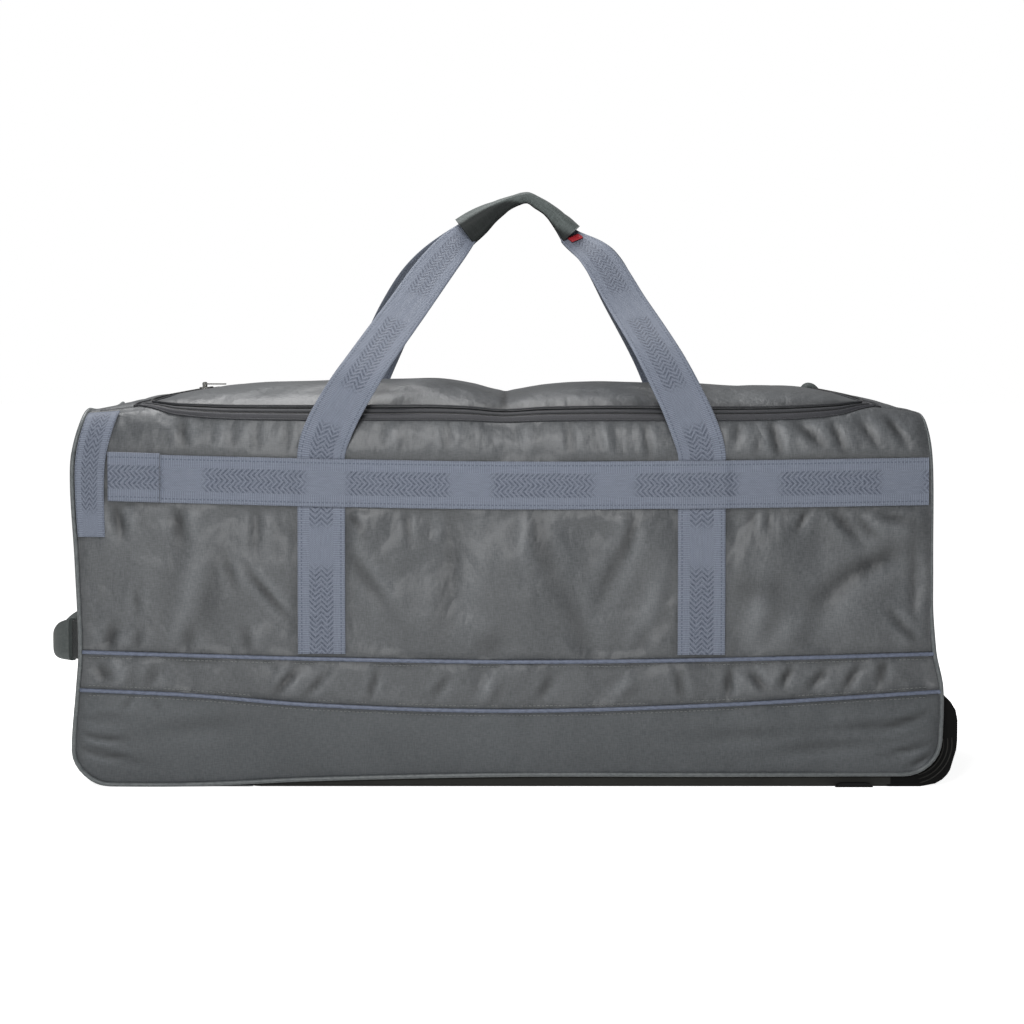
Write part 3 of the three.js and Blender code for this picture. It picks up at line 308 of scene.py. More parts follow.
def woven_webbing(name, light, dark, deep, stitch):
    """Narrow webbing with ribbed borders and a herringbone middle."""
    material, tree, shader = new_finish(name)
    strap = add_node(tree, "UVMap", {"uv_map": "cut"}).outputs["UV"]
    split = add_node(tree, "SeparateXYZ", links={"Vector": strap})
    run, from_middle = split.outputs["X"], calc(tree, "ABSOLUTE", split.outputs["Y"])
    middle = ranged(tree, from_middle, (MIDDLE_HALF + 0.5) * MM, (MIDDLE_HALF - 0.5) * MM)
    # herringbone: rows lean one way and then the other across the middle
    lean = calc(tree, "ADD", run, calc(tree, "PINGPONG", from_middle, MIDDLE_HALF / 2 * MM))
    rows = ranged(tree, wave(tree, lean, CHEVRON_LENGTH), -0.35, 0.35)
    # the darker weave comes and goes along the strap, and broken yarns speckle it
    panels = ranged(tree, wave(tree, run, PANEL_LENGTH), -0.75, -0.45)
    broken = ranged(tree, fine_noise(tree, strap, (2.2, 2.2), Detail=2.0), 0.35, 0.6, 0.25, 1.0)
    dark_part = rows
    for share in (panels, middle, broken):
        dark_part = calc(tree, "MULTIPLY", dark_part, share)
    # ribs in the borders, fine herringbone in the middle, and yarns that differ a little in shade
    weave = add_node(
        tree, "Mix", {"data_type": "FLOAT"},
        links={"Factor": middle, "A": wave(tree, run, RIB_SHOWN), "B": wave(tree, lean, RIB_SHOWN)}).outputs[0]
    yarn = fine_noise(tree, strap, (14, 1.1), Detail=3.0, Roughness=0.65)
    lit = calc(tree, "ADD", ranged(tree, weave, -1.0, 1.0), yarn)
    plain = two_tones(tree, dark, light, calc(tree, "MULTIPLY", lit, 0.5))
    # a row of stitches along each edge
    off_row = calc(tree, "ABSOLUTE", calc(tree, "SUBTRACT", from_middle, EDGE_STITCH * MM))
    dashes = ranged(tree, wave(tree, run, STITCH_LENGTH), -0.5, 0.1)
    thread = calc(tree, "MULTIPLY", ranged(tree, off_row, 0.9 * MM, 0.4 * MM), dashes)
    height = calc(tree, "SUBTRACT", lit, calc(tree, "ADD", dark_part, thread))
    set_shader(tree, shader, {
        "Base Color": laid_over(tree, laid_over(tree, plain, deep, dark_part), stitch, thread),
        "Normal": bumped(tree, height, 0.5, 0.35),
    }, {"Roughness": 0.62, "Specular IOR Level": 0.35, "Sheen Weight": 0.18, "Sheen Roughness": 0.5})
    return material


webbing = woven_webbing("blue_grey_polyester_webbing_herringbone", "#868d9b", "#4f5665", "#4a505e", "#585f6e")
dark_webbing = woven_webbing("dark_grey_polyester_webbing", "#303434", "#232627", "#222526", "#181a1a")
print("webbing:", webbing.name, dark_webbing.name)

# %% [markdown]
# Piping is a thin cord with a strip of cloth sewn round it. Seen close, the strip puckers across the
# cord between stitches, so the finish carries short soft bands across the length.

# %% Cloth-covered piping
PUCKER_SIZE = (5.0, 9.0)  # mm along the cord and round it


def covered_piping(name, light, dark, roughness):
    """A cloth strip puckered round a cord: u runs along it, v round it."""
    material, tree, shader = new_finish(name)
    strip = add_node(tree, "UVMap", {"uv_map": "cut"}).outputs["UV"]
    puckers = fine_noise(tree, strip, PUCKER_SIZE, Detail=3.0)
    set_shader(tree, shader, {
        "Base Color": two_tones(tree, dark, light, ranged(tree, puckers, 0.3, 0.7)),
        "Normal": bumped(tree, puckers, 0.4, 0.5),
    }, {"Roughness": roughness, "Sheen Weight": 0.15})
    return material


grey_piping = covered_piping("grey_polyester_covered_piping", "#686c6d", "#54595b", 0.42)
accent_piping = covered_piping("blue_grey_polyester_covered_piping", "#687083", "#565e70", 0.5)
print("piping:", grey_piping.name, accent_piping.name)

# %% [markdown]
# The hard pieces are moulded: black polypropylene for the housings, base and feet, with the fine
# spark-eroded grain that such moulds leave, and softer, rougher rubber for the tyres. Grain of about
# 0.5 mm is drawn at 1.5 mm. Edges that rub on the ground turn greyer, which Pointiness finds.

# %% Moulded black plastic and rubber
SCUFF_SIZE = 30  # mm


def moulded_black(name, base, worn, roughness, grain):
    """Black moulding with a fine grain and paler rubbed edges."""
    material, tree, shader = new_finish(name)
    place = add_node(tree, "TexCoord").outputs["Object"]
    specks = fine_noise(tree, place, (grain, grain, grain), Detail=3.0, Roughness=0.6)
    scuffs = fine_noise(tree, place, (SCUFF_SIZE, SCUFF_SIZE, SCUFF_SIZE), Detail=4.0)
    edges = ranged(tree, add_node(tree, "NewGeometry").outputs["Pointiness"], 0.52, 0.62)
    set_shader(tree, shader, {
        "Base Color": two_tones(tree, base, worn, calc(tree, "MULTIPLY", edges, scuffs)),
        "Roughness": ranged(tree, scuffs, 0.0, 1.0, roughness - 0.08, roughness + 0.1),
        "Normal": bumped(tree, specks, 0.2, 0.3),
    }, {"Specular IOR Level": 0.12})
    return material


black_plastic = moulded_black("black_polypropylene_moulded", "#070707", "#222323", 0.6, 1.5)
black_rubber = moulded_black("black_rubber_moulded", "#090909", "#202020", 0.8, 2.0)
base_board = moulded_black("black_coated_base_board", "#2c2c2a", "#3e3e3c", 0.7, 1.8)
print("mouldings:", black_plastic.name, black_rubber.name, base_board.name)

# %% [markdown]
# The zip is a coil zip sewn in face down, so its tape shows: a dense twill with a dark slit along the
# middle. The slider and its pull are die-cast zinc with a nickel finish: bright, with a faint cloud of
# fine scratches. A metal keeps its default IOR, and its colour is its reflection.

# %% Zip tape, metal, thread and tag
def spun_finish(name, light, dark, roughness, size_mm, metallic=0.0, bump=0.2):
    """Fine fibres or scratches from stretched noise over the piece."""
    material, tree, shader = new_finish(name)
    place = add_node(tree, "TexCoord").outputs["Object"]
    fibres = fine_noise(tree, place, (size_mm, size_mm, 4 * size_mm), Detail=3.0, Roughness=0.6)
    set_shader(tree, shader, {
        "Base Color": two_tones(tree, dark, light, ranged(tree, fibres, 0.3, 0.7)),
        "Roughness": ranged(tree, fibres, 0.0, 1.0, roughness - 0.05, roughness + 0.08),
        "Normal": bumped(tree, fibres, bump, 0.2),
    }, {"Metallic": metallic})
    return material


zip_twill = spun_finish("dark_grey_zip_tape_twill", "#3d3d42", "#2e2f33", 0.6, 1.2)
zip_dark = spun_finish("black_zip_tape_twill", "#37383c", "#28292c", 0.65, 1.2)
zip_coil = spun_finish("black_nylon_zip_coil", "#141416", "#0b0b0c", 0.5, 1.0)
nickel = spun_finish("nickel_plated_zinc_die_cast", "#cfcfcb", "#b4b4b0", 0.26, 1.5, metallic=1.0, bump=0.05)
steel = spun_finish("zinc_plated_steel_turned", "#b5b7b8", "#8f9192", 0.35, 1.0, metallic=1.0, bump=0.1)
grey_thread = spun_finish("grey_polyester_thread", "#7d8080", "#5e6161", 0.6, 0.6)
red_ribbon = spun_finish("red_woven_ribbon", "#b43038", "#8e1f28", 0.55, 0.9)
print("small finishes:", zip_twill.name, nickel.name, red_ribbon.name)

# %% [markdown]
# The sewn body is one tube of cloth: up the front, over a soft fold, across the top, and down the
# back. A point of it has two numbers: x along the bag, and its girth, the distance up the cloth from
# the floor at the front. Seams, webbing and zip are lines in those two numbers, so a cloth panel can
# be cut, simulated and sewn next to its neighbours without any measuring on the mesh. The sizes are
# those of the CAD drawing, in millimetres.

# %% Sizes and lines of the sewn body
SEAM_DEPTH = 175.0
TOP_HEIGHT = 394.0
FOLD_RADIUS = 50.0
CORNER_RADIUS = 34.0
BELLY = 15.0
END_BULGE = 12.0
HINGE_GIRTH = 650.0
ZIP_HALF = 7.2
WEBBING_WIDE = 50.0
WEBBING_THICK = 1.8
STRAP_LEFT, STRAP_RIGHT = -193.0, 203.0
SIDE = TOP_HEIGHT - FOLD_RADIUS
FOLD = FOLD_RADIUS * math.pi / 2
HALF_TOP = SEAM_DEPTH - FOLD_RADIUS
HALF_GIRTH = SIDE + FOLD + HALF_TOP

END_SEAM = {
    "girth": [0, 36, 98, 140, 230, 330, 385, 422, 548],
    "left": [-450, -453, -448, -445, -448, -452, -443, -439, -438],
    "right": [450, 453, 454, 446, 444, 443, 438, 434, 433],
}
FRONT_LINES = {
    "x": [-450, -330, -200, 0, 220, 450],
    "bottom": [-1.2, -1.2, 4.5, 9, 9, 9.5],
    "low": [97, 92, 82, 76, 82, 95],
    "high": [137, 134, 131, 128, 130, 135],
    "belt": [346, 343, 340, 337, 338, 341],
}
ZIP_FRONT = {"x": [-387, -345, -250, 0, 250, 345, 387], "girth": [416, 395, 387, 386, 387, 394, 414]}
ZIP_SIDE = {"girth": [400, 587, 650], "left": [-387, -337, -330], "right": [387, 338, 331]}
CROWN = {
    "x": [-440, -412, -385, -300, -90, -40, -4, 40, 118, 250, 330, 385, 415, 440],
    "rise": [-8, -2.5, 4, 17, 24, 19, 10, 17, 21, 16, 14, 3.5, -4, -14],
}


def along(table, key, column, at):
    """Smooth value of one column of a table, a cubic through its rows."""
    keys, values = np.array(table[key], float), np.array(table[column], float)
    at = np.clip(np.asarray(at, float), keys[0], keys[-1])
    slope = np.empty_like(values)
    slope[1:-1] = (values[2:] - values[:-2]) / (keys[2:] - keys[:-2])
    slope[0], slope[-1] = np.diff(values)[[0, -1]] / np.diff(keys)[[0, -1]]
    i = np.clip(np.searchsorted(keys, at) - 1, 0, len(keys) - 2)
    step = keys[i + 1] - keys[i]
    t = (at - keys[i]) / step
    rise = (values[i + 1] - values[i]) * (3 * t**2 - 2 * t**3)
    bend = slope[i] * (t - 2 * t**2 + t**3) + slope[i + 1] * (t**3 - t**2)
    return values[i] + rise + bend * step


def ease(value, low, high):
    """Smooth step from 0 at low to 1 at high."""
    t = np.clip((np.asarray(value, float) - low) / (high - low), 0, 1)
    return t * t * (3 - 2 * t)


def run_of(girth):
    return np.minimum(girth, 2 * HALF_GIRTH - girth)


def left_seam(girth):
    return along(END_SEAM, "girth", "left", run_of(girth))


def right_seam(girth):
    return along(END_SEAM, "girth", "right", run_of(girth))


def front_line(name, x):
    return along(FRONT_LINES, "x", name, x)


def zip_front(x):
    return along(ZIP_FRONT, "x", "girth", x)


def zip_side(side, girth):
    return along(ZIP_SIDE, "girth", side, girth)


print("girth of half the bag:", round(HALF_GIRTH, 1), "mm")

# %% [markdown]
# The plain section is a rounded box. The filled bag swells out from it, most in the middle, and the
# lid has a soft crown with a dip at its centre. Every point of the body is the plain section pushed
# out along its own direction, so webbing and piping can be laid at an exact height above the cloth.

# %% Shape of the filled bag
def section(girth):
    """Place and outward direction in the YZ plane at a girth."""
    run = run_of(girth)
    side = np.where(np.asarray(girth) > HALF_GIRTH, -1.0, 1.0)
    turn = np.clip((run - SIDE) / FOLD_RADIUS, 0, math.pi / 2)
    flat = np.maximum(run - SIDE - FOLD, 0)
    y = -HALF_TOP - FOLD_RADIUS * np.cos(turn) + flat
    z = np.minimum(run, SIDE) + FOLD_RADIUS * np.sin(turn)
    return side * y, z, -side * np.cos(turn), np.sin(turn)


def swell(x, girth):
    """How far the filled cloth stands out from the plain section."""
    run = run_of(girth)
    middle = 1 - np.minimum(np.abs(x) / 448, 1) ** 2.2
    wall = BELLY * middle * np.sin(math.pi * np.clip(run / (SIDE + 40), 0, 1)) ** 0.9
    return wall + along(CROWN, "x", "rise", x) * ease(run, SIDE - 20, SIDE + FOLD + 60)


def on_bag(x, girth, lift=0.0):
    """Points of the body at x and girth, lifted off the cloth, mm."""
    x, girth = np.broadcast_arrays(np.asarray(x, float), np.asarray(girth, float))
    y, z, out_y, out_z = section(girth)
    out = swell(x, girth) + lift
    return np.stack([x, y + out_y * out, z + out_z * out], -1)


print("lid crown:", on_bag(-90.0, HALF_GIRTH)[2].round(1), "mm high")

# %% [markdown]
# A panel is a grid of points with the flat cut kept as its UV map, in metres, so a weave can follow
# the cloth instead of the room. The same builder closes the grid into a ring for webbing and piping.

# %% Grid builder
def grid_piece(name, points, cut, finish, ring=False):
    """Mesh object from a grid of points in mm (columns, rows, 3) and its flat cut in mm."""
    columns, rows = points.shape[:2]
    ids = np.arange(columns * rows).reshape(columns, rows)
    ends = []
    if ring:
        ids = np.concatenate([ids, ids[:, :1]], 1)
        ends = [ids[0, :-1][::-1].tolist(), ids[-1, :-1].tolist()]
    corners = [(0, 0), (1, 0), (1, 1), (0, 1)]
    tall, wide = ids.shape[0] - 1, ids.shape[1] - 1
    faces = np.stack([ids[a:a + tall, b:b + wide] for a, b in corners], -1).reshape(-1, 4).tolist()
    flat = np.stack([cut[a:a + tall, b:b + wide] for a, b in corners], -2).reshape(-1, 2)
    if ring:
        flat = np.concatenate([flat, cut[0, :-1][::-1], cut[-1, :-1]])
    mesh = bpy.data.meshes.new(name)
    mesh.from_pydata((points.reshape(-1, 3) * MM + ORIGIN).tolist(), [], faces + ends)
    layer = mesh.uv_layers.new(name="cut")
    layer.data.foreach_set("uv", (flat * MM).astype(np.float32).ravel())
    mesh.polygons.foreach_set("use_smooth", [len(face) == 4 for face in faces + ends])
    mesh.materials.append(finish)
    mesh.update()
    if ring and signed_volume(mesh) < 0:
        mesh.flip_normals()
    piece = bpy.data.objects.new(name, mesh)
    scene.collection.objects.link(piece)
    return piece


def signed_volume(mesh):
    """Volume inside a closed mesh, negative where its faces look inward."""
    mesh.calc_loop_triangles()
    places = np.empty(len(mesh.vertices) * 3)
    mesh.vertices.foreach_get("co", places)
    places = places.reshape(-1, 3)
    corners = np.empty(len(mesh.loop_triangles) * 3, int)
    mesh.loop_triangles.foreach_get("vertices", corners)
    a, b, c = places[corners.reshape(-1, 3)].transpose(1, 0, 2)
    return float((a * np.cross(b, c)).sum() / 6)


def solid_piece(name, points, faces, finish):
    """Closed mesh object from points in mm, its faces outward."""
    mesh = bpy.data.meshes.new(name)
    mesh.from_pydata((np.array(points) * MM + ORIGIN).tolist(), [], faces)
    mesh.materials.append(finish)
    mesh.update()
    if signed_volume(mesh) < 0:
        mesh.flip_normals()
    piece = bpy.data.objects.new(name, mesh)
    scene.collection.objects.link(piece)
    return piece


# %% [markdown]
# Thin cloth on a loosely filled bag has two kinds of relief. Long soft folds lie where the photograph
# shows them: they are listed by place, size and lean, and the same list gives each panel its painted
# shading, painted shade in the folds and painted highlight on their ridges. The small crumples between
# them are seeded noise and a cloth simulation: the panel is held at its seams and under the webbing,
# it is given a little more cloth than the space holds, and pressure from inside pushes it out until it
# buckles. A cap keeps every move to a few millimetres.

# %% Folds seen on the front
FOLDS = [
    # x, girth, half length, half width, depth, lean from upright in degrees
    (-338, 366, 16, 8, -2.2, -6), (-298, 362, 18, 9, 1.2, 4), (-262, 364, 18, 8, -1.2, -4),
    (-230, 360, 16, 7, -1, 0), (-120, 362, 20, 9, 1, 3), (-62, 362, 20, 7, -1.4, 4),
    (20, 362, 18, 9, 0.9, -4), (66, 358, 16, 7, -1.5, -6), (104, 360, 18, 8, 1.2, -10),
    (146, 358, 20, 6, -2, -6), (240, 366, 9, 7, -1.8, 4), (262, 352, 12, 6, -1.4, 4),
    (280, 360, 22, 8, -2.8, -14), (316, 364, 18, 8, -2.6, -52), (346, 360, 18, 7, -2.8, -26),
    (378, 366, 16, 7, -2.4, -34), (405, 372, 16, 7, -3, -34), (-405, 276, 15, 9, -3.4, -14),
    (-342, 272, 18, 11, -2.6, -6), (-262, 268, 26, 9, -1.4, 2), (-386, 190, 12, 6, -1.8, 0),
    (-288, 220, 18, 7, -1.8, -18), (-250, 199, 30, 6, -3, -40), (-330, 205, 50, 16, 1.6, 14),
    (-415, 152, 14, 10, -2.8, 18), (-386, 150, 10, 7, -1.6, 10), (-334, 152, 14, 10, -1.8, 14),
    (-272, 150, 14, 9, -1.6, -8), (-160, 278, 14, 6, -2.4, -38), (-104, 274, 18, 5, -2.2, -6),
    (-72, 268, 24, 8, 1, -2), (-148, 218, 44, 10, -1.6, -36), (-60, 215, 60, 18, -1.2, 8),
    (-16, 146, 16, 20, -1.4, 50), (18, 260, 30, 10, 1.2, 4), (40, 240, 46, 14, -1.2, -12),
    (112, 228, 40, 11, -1.6, 26), (128, 262, 22, 8, -1.6, 14), (150, 190, 40, 14, 1.4, 20),
    (72, 172, 40, 14, -1.2, -18), (140, 150, 14, 10, -1.2, 20), (256, 277, 10, 6, -1.8, 4),
    (272, 276, 12, 6, -1.6, -8), (308, 277, 14, 6, -3, 28), (352, 272, 20, 8, -2.8, -42),
    (372, 270, 18, 7, -2.6, -46), (404, 278, 16, 8, -2, 100), (384, 232, 30, 14, -2.2, 62),
    (330, 196, 46, 18, -2, 48), (300, 170, 40, 16, 1.8, 44), (412, 166, 20, 7, -2.2, -42),
    (262, 204, 20, 20, -1.4, 80), (260, 176, 46, 14, 1.4, 10), (425, 214, 60, 8, -1.6, 0),
    (-424, 116, 10, 12, -2.2, -30), (-404, 112, 10, 9, 1.6, 20), (-372, 112, 12, 9, -1.7, 30),
    (-230, 108, 16, 7, -3.4, 42), (-200, 104, 16, 6, -2.4, 42), (-140, 104, 14, 6, -2.7, 20),
    (-70, 102, 14, 7, -2, 36), (-20, 100, 14, 9, 2, 30), (40, 101, 14, 8, -2, 34),
    (120, 102, 16, 9, 2.2, 44), (180, 104, 14, 7, -2.4, -10), (232, 106, 14, 7, -3.4, 4),
    (262, 108, 12, 7, -3.1, -40), (292, 112, 10, 7, -3.7, 30), (326, 110, 11, 7, -3.4, 44),
    (360, 110, 12, 7, -3.7, 30), (392, 116, 11, 8, -3.7, 10), (-420, 68, 24, 5, -2.2, 92),
    (-424, 48, 22, 5, -2.4, 98), (-420, 30, 32, 6, -2.4, 102), (-396, 86, 10, 5, -1.8, 40),
    (-368, 85, 9, 5, -1.6, -35), (-330, 60, 60, 12, -0.8, 84), (436, 24, 15, 5, -2.6, 60),
    (422, 36, 26, 5, -2.4, 76), (380, 60, 46, 8, -1.6, 84), (335, 40, 60, 9, -1.4, 84),
    (420, 66, 26, 6, -1.8, 70), (250, 52, 60, 10, -0.9, 88),
]


def smooth_noise(points, size_mm, seed):
    """Seeded soft noise at points in mm, about -1 to 1."""
    flat = points.reshape(-1, 3) / size_mm + seed
    return np.array([noise.noise(Vector(p)) for p in flat]).reshape(points.shape[:-1])


CRUMPLES = [(85.0, 7.0), (36.0, 2.2), (16.0, 0.6)]  # size and height of the loose cloth's own waves, mm


def fold_shapes(x, girth):
    """Depth and shape of each listed fold: a valley with a ridge on either side."""
    for fx, fg, length, width, depth, lean in FOLDS:
        s, c = math.sin(math.radians(lean)), math.cos(math.radians(lean))
        up = ((x - fx) * s + (girth - fg) * c) / length
        over = ((x - fx) * c - (girth - fg) * s) / (0.75 * width)
        ridges = 0.6 * np.exp(-((over - 1.6) ** 2)) + 0.35 * np.exp(-((over + 1.6) ** 2))
        yield depth, np.exp(-up * up) * (np.exp(-over * over) - ridges)


def fold_relief(x, girth, loose):
    """Height of the listed folds and of the loose cloth's waves, mm."""
    place = on_bag(x, girth)
    waves = sum(tall * smooth_noise(place, size, 17.3 + size) for size, tall in CRUMPLES)
    loose = loose * (1 - 0.45 * ease(girth, 340, 356))  # the belt and the zip hold the cloth between them
    return loose * waves + sum(0.9 * depth * shape for depth, shape in fold_shapes(x, girth))


def fold_painted_shading(x, girth):
    """Painted shading of the listed folds: -1 is painted shade in a deep fold, 1 a painted highlight on a ridge."""
    return np.clip(sum(depth / 2.4 * shape for depth, shape in fold_shapes(x, girth)), -1, 1)


def free_cloth(x, girth):
    """0 where seams, webbing or zip hold the front cloth, 1 where it is free."""
    belt = front_line("belt", x)
    free = ease(np.maximum(girth - belt, belt - WEBBING_WIDE - girth), 1, 9)
    below_belt = girth < belt
    for strap in (STRAP_LEFT, STRAP_RIGHT):
        free = free * np.where(below_belt & (girth > front_line("high", x)), ease(np.abs(x - strap), 26, 34), 1)
    for line in ("low", "high"):
        free = free * ease(np.abs(girth - front_line(line, x)), 3, 9)
    free = free * ease(np.abs(girth - zip_front(x)), ZIP_HALF + 1, ZIP_HALF + 7)
    return free * ease(np.minimum(x - left_seam(girth), right_seam(girth) - x), 2, 14)


print("folds listed:", len(FOLDS))

# %% Cloth simulation
# spare cloth as a share, inner pressure, bending stiffness, and the cap on a move in mm
SETTLE = {
    "front_upper_cloth": (0.012, 0.5, 0.06, 2.0), "front_band_cloth": (0.016, 1.0, 0.05, 2.5),
    "front_lower_cloth": (0.004, 1.0, 0.4, 2.0), "lid_cloth": (0.008, 0.6, 0.08, 1.6),
    "top_cloth_left": (0.012, 0.6, 0.06, 2.5), "top_cloth_right": (0.012, 0.6, 0.06, 2.5),
    "back_cloth": (0.007, 1.0, 0.2, 3.0), "left_end_cloth": (0.006, 0.8, 0.25, 2.5),
    "right_end_cloth": (0.006, 0.8, 0.25, 2.5), "grip_wrap_cloth": (0.01, 1.5, 0.2, 2.0),
    "tow_sleeve": (0.006, 1.5, 0.2, 1.2),
}
SETTLE_FRAMES = 18


def buckle(piece, held):
    """Lets a held panel settle with spare cloth and inner pressure, then keeps the shape."""
    slack, pressure, stiffness, cap_mm = SETTLE[piece.name]
    group = piece.vertex_groups.new(name="sewn")
    for weight in np.unique(held[held > 0]):
        group.add(np.flatnonzero(held == weight).tolist(), float(weight), "REPLACE")
    start = np.empty(len(piece.data.vertices) * 3)
    piece.data.vertices.foreach_get("co", start)
    cloth = piece.modifiers.new("cloth", "CLOTH")
    settings = cloth.settings
    settings.quality = 6
    settings.mass = 0.2
    settings.tension_stiffness = settings.compression_stiffness = 20
    settings.shear_stiffness = 8
    settings.bending_stiffness = stiffness
    settings.tension_damping = settings.compression_damping = settings.shear_damping = 10
    settings.bending_damping = 1.0
    settings.shrink_min = -slack
    settings.vertex_group_mass = "sewn"
    settings.use_pressure = True
    settings.uniform_pressure_force = pressure
    settings.effector_weights.gravity = 0
    cloth.collision_settings.use_collision = False
    cloth.point_cache.frame_start, cloth.point_cache.frame_end = 1, SETTLE_FRAMES
    for step in range(1, SETTLE_FRAMES + 1):
        scene.frame_set(step)
    settled = piece.evaluated_get(bpy.context.evaluated_depsgraph_get())
    moved = np.empty_like(start)
    settled.data.vertices.foreach_get("co", moved)
    piece.modifiers.remove(cloth)
    scene.frame_set(1)
    move = (moved - start).reshape(-1, 3)
    reach = np.linalg.norm(move, axis=1, keepdims=True)
    cap = cap_mm * MM
    move *= cap * np.tanh(reach / cap) / np.maximum(reach, 1e-9)
    piece.data.vertices.foreach_set("co", start + move.ravel())
    piece.data.update()
    print("settled", piece.name, "largest move", round(float(reach.max()) / MM, 1), "mm before the cap")


def round_off(piece):
    smooth = piece.modifiers.new("rounded", "SUBSURF")
    smooth.levels = smooth.render_levels = 1


def finish_cloth(piece, thick_mm=1.4):
    """Rounds the facets of a panel and gives it its thickness, inward."""
    round_off(piece)
    wall = piece.modifiers.new("thickness", "SOLIDIFY")
    wall.thickness = thick_mm * MM
    wall.offset = -1.0


print("pieces that settle:", len(SETTLE))

# %% [markdown]
# Each panel is cut as a grid between two girth lines, from end seam to end seam. The front is three
# panels: thin cloth above, a narrow band between the two accent pipings, and heavier cloth at the
# foot, whose lower corners are round.

# %% Cut and sew the front panels
SEAM_INSET = -0.8  # cloth edge back from its seam, mm; it runs a little under the piping
ACCENT_INSET = 0.5  # cloth edge back from the middle of the accent piping, mm
FOOT_LAP = 1.4  # cloth under the foot piping, mm
GRID = 5.0  # mm between cloth points
FRONT_LENGTH = 890.0
sewn_panels = {}


def rounded_columns(step):
    """Shares along the front, closer together round the two lower corners."""
    corner = CORNER_RADIUS / FRONT_LENGTH
    close = corner * (1 - np.cos(np.linspace(0, math.pi / 2, 9)))
    middle = np.linspace(corner, 1 - corner, int(FRONT_LENGTH / step))[1:-1]
    return np.concatenate([close, middle, 1 - close[::-1]])


def corner_reach(u):
    """How far a share of the front lies inside a round lower corner, mm."""
    return np.maximum(CORNER_RADIUS - np.minimum(u, 1 - u) * FRONT_LENGTH, 0)


def lower_edge(x, u):
    """Lower edge of the front or back cloth, rounded up at both corners."""
    return front_line("bottom", x) + CORNER_RADIUS - np.sqrt(CORNER_RADIUS**2 - corner_reach(u) ** 2)


def cut_between(low, high, u, rows):
    """x and girth of a grid between two girth lines, seam to seam."""
    u, v = u[:, None], np.linspace(0, 1, rows)[None, :]
    x = np.zeros((u.size, rows))
    for _ in range(6):
        girth = low(x, u) * (1 - v) + high(x, u) * v
        left, right = left_seam(girth) + SEAM_INSET, right_seam(girth) - SEAM_INSET
        x = left + (right - left) * u
    return x, girth


def upper_edge(x, u):
    return zip_front(x) - ZIP_HALF - 1.2 * ease(np.abs(x), 360, 380)


# painted shading, one value per point, that the cloth finishes scale their colour by
def mark_painted_shading(piece, painted_shading):
    layer = piece.data.attributes.new("painted_shading", "FLOAT", "POINT")
    layer.data.foreach_set("value", np.asarray(painted_shading, np.float32).ravel())


def sew(name, node, points, cut, finish, held, painted_shading=None):
    """Makes a panel, lets it settle, and notes it for the end."""
    piece = grid_piece(name, points, cut, finish)
    if painted_shading is not None:
        mark_painted_shading(piece, painted_shading)
    buckle(piece, np.where(held, 1.0, 0.0).ravel())
    finish_cloth(piece)
    sewn_panels[name] = (piece, node, cut)


def front_panel(name, node, low, high, u, rows, finish, loose=1.0):
    """Cuts a front panel between two girth lines, folds it and sews it."""
    x, girth = cut_between(low, high, u, rows)
    free = free_cloth(x, girth)
    points = on_bag(x, girth, fold_relief(x, girth, loose) * free)
    held = free < 0.15
    held[[0, -1], :] = held[:, [0, -1]] = True
    # painted shading: painted shade in the folds and along the seams, webbing and zip that hold the cloth, painted
    # highlight on the ridges
    painted_shading = fold_painted_shading(x, girth) * free - 0.3 * (1 - free)
    sew(name, node, points, np.stack([x, girth], -1), finish, held, painted_shading)


wide = np.linspace(0, 1, int(FRONT_LENGTH / GRID))
front_panel(
    "front_upper_cloth", "front_upper_panel", lambda x, u: front_line("high", x) + ACCENT_INSET, upper_edge,
    wide, 50, thin_cloth)
front_panel(
    "front_band_cloth", "front_band_panel", lambda x, u: front_line("low", x) + ACCENT_INSET,
    lambda x, u: front_line("high", x) - ACCENT_INSET, wide, 11, thin_cloth)
front_panel(
    "front_lower_cloth", "front_lower_panel", lambda x, u: lower_edge(x, u) - FOOT_LAP,
    lambda x, u: front_line("low", x) - ACCENT_INSET, rounded_columns(GRID), 17, heavy_cloth, loose=0.4)
print("front panels:", sorted(sewn_panels))

# %% [markdown]
# The lid is the tongue inside the zip. It lies loose over what the bag holds, so it sags a little and
# creases at its middle, where it was folded in its carton.

# %% Cut and sew the lid, the top strips and the back
def zip_gap(girth):
    """Half of the gap for the zip, closed beyond the ends of its returns."""
    return ZIP_HALF - (ZIP_HALF - 0.4) * ease(girth, 620, 632)


u = np.linspace(0, 1, 132)[:, None]
v = np.linspace(0, 1, 46)[None, :]
girth = np.full((132, 46), 420.0) * (1 - v) + HINGE_GIRTH * v
for _ in range(7):
    lid_left, lid_right = zip_side("left", girth) + zip_gap(girth), zip_side("right", girth) - zip_gap(girth)
    x = lid_left + (lid_right - lid_left) * u
    girth = (zip_front(x) + ZIP_HALF) * (1 - v) + (HINGE_GIRTH - 0.4) * v
border = np.minimum(np.minimum(u, 1 - u) * 700, np.minimum(v, 1 - v) * 240)
loose = ease(border, 2, 22)
crease = -2.4 * np.exp(-((x + 4 - 0.02 * (girth - 400)) / 3.0) ** 2)
lid_relief = (crease + 2.2 * smooth_noise(on_bag(x, girth), 70.0, 3.7)) * loose
# painted shading: painted shade in the carton crease and along the lid's front edge by the zip
lid_painted_shading = crease / 2.4 - 0.7 * (1 - ease(v * 240 + 0 * u, 2, 18))
sew("lid_cloth", "lid_panel", on_bag(x, girth, lid_relief), np.stack([x, girth], -1), thin_cloth,
    border < 2.5, lid_painted_shading)

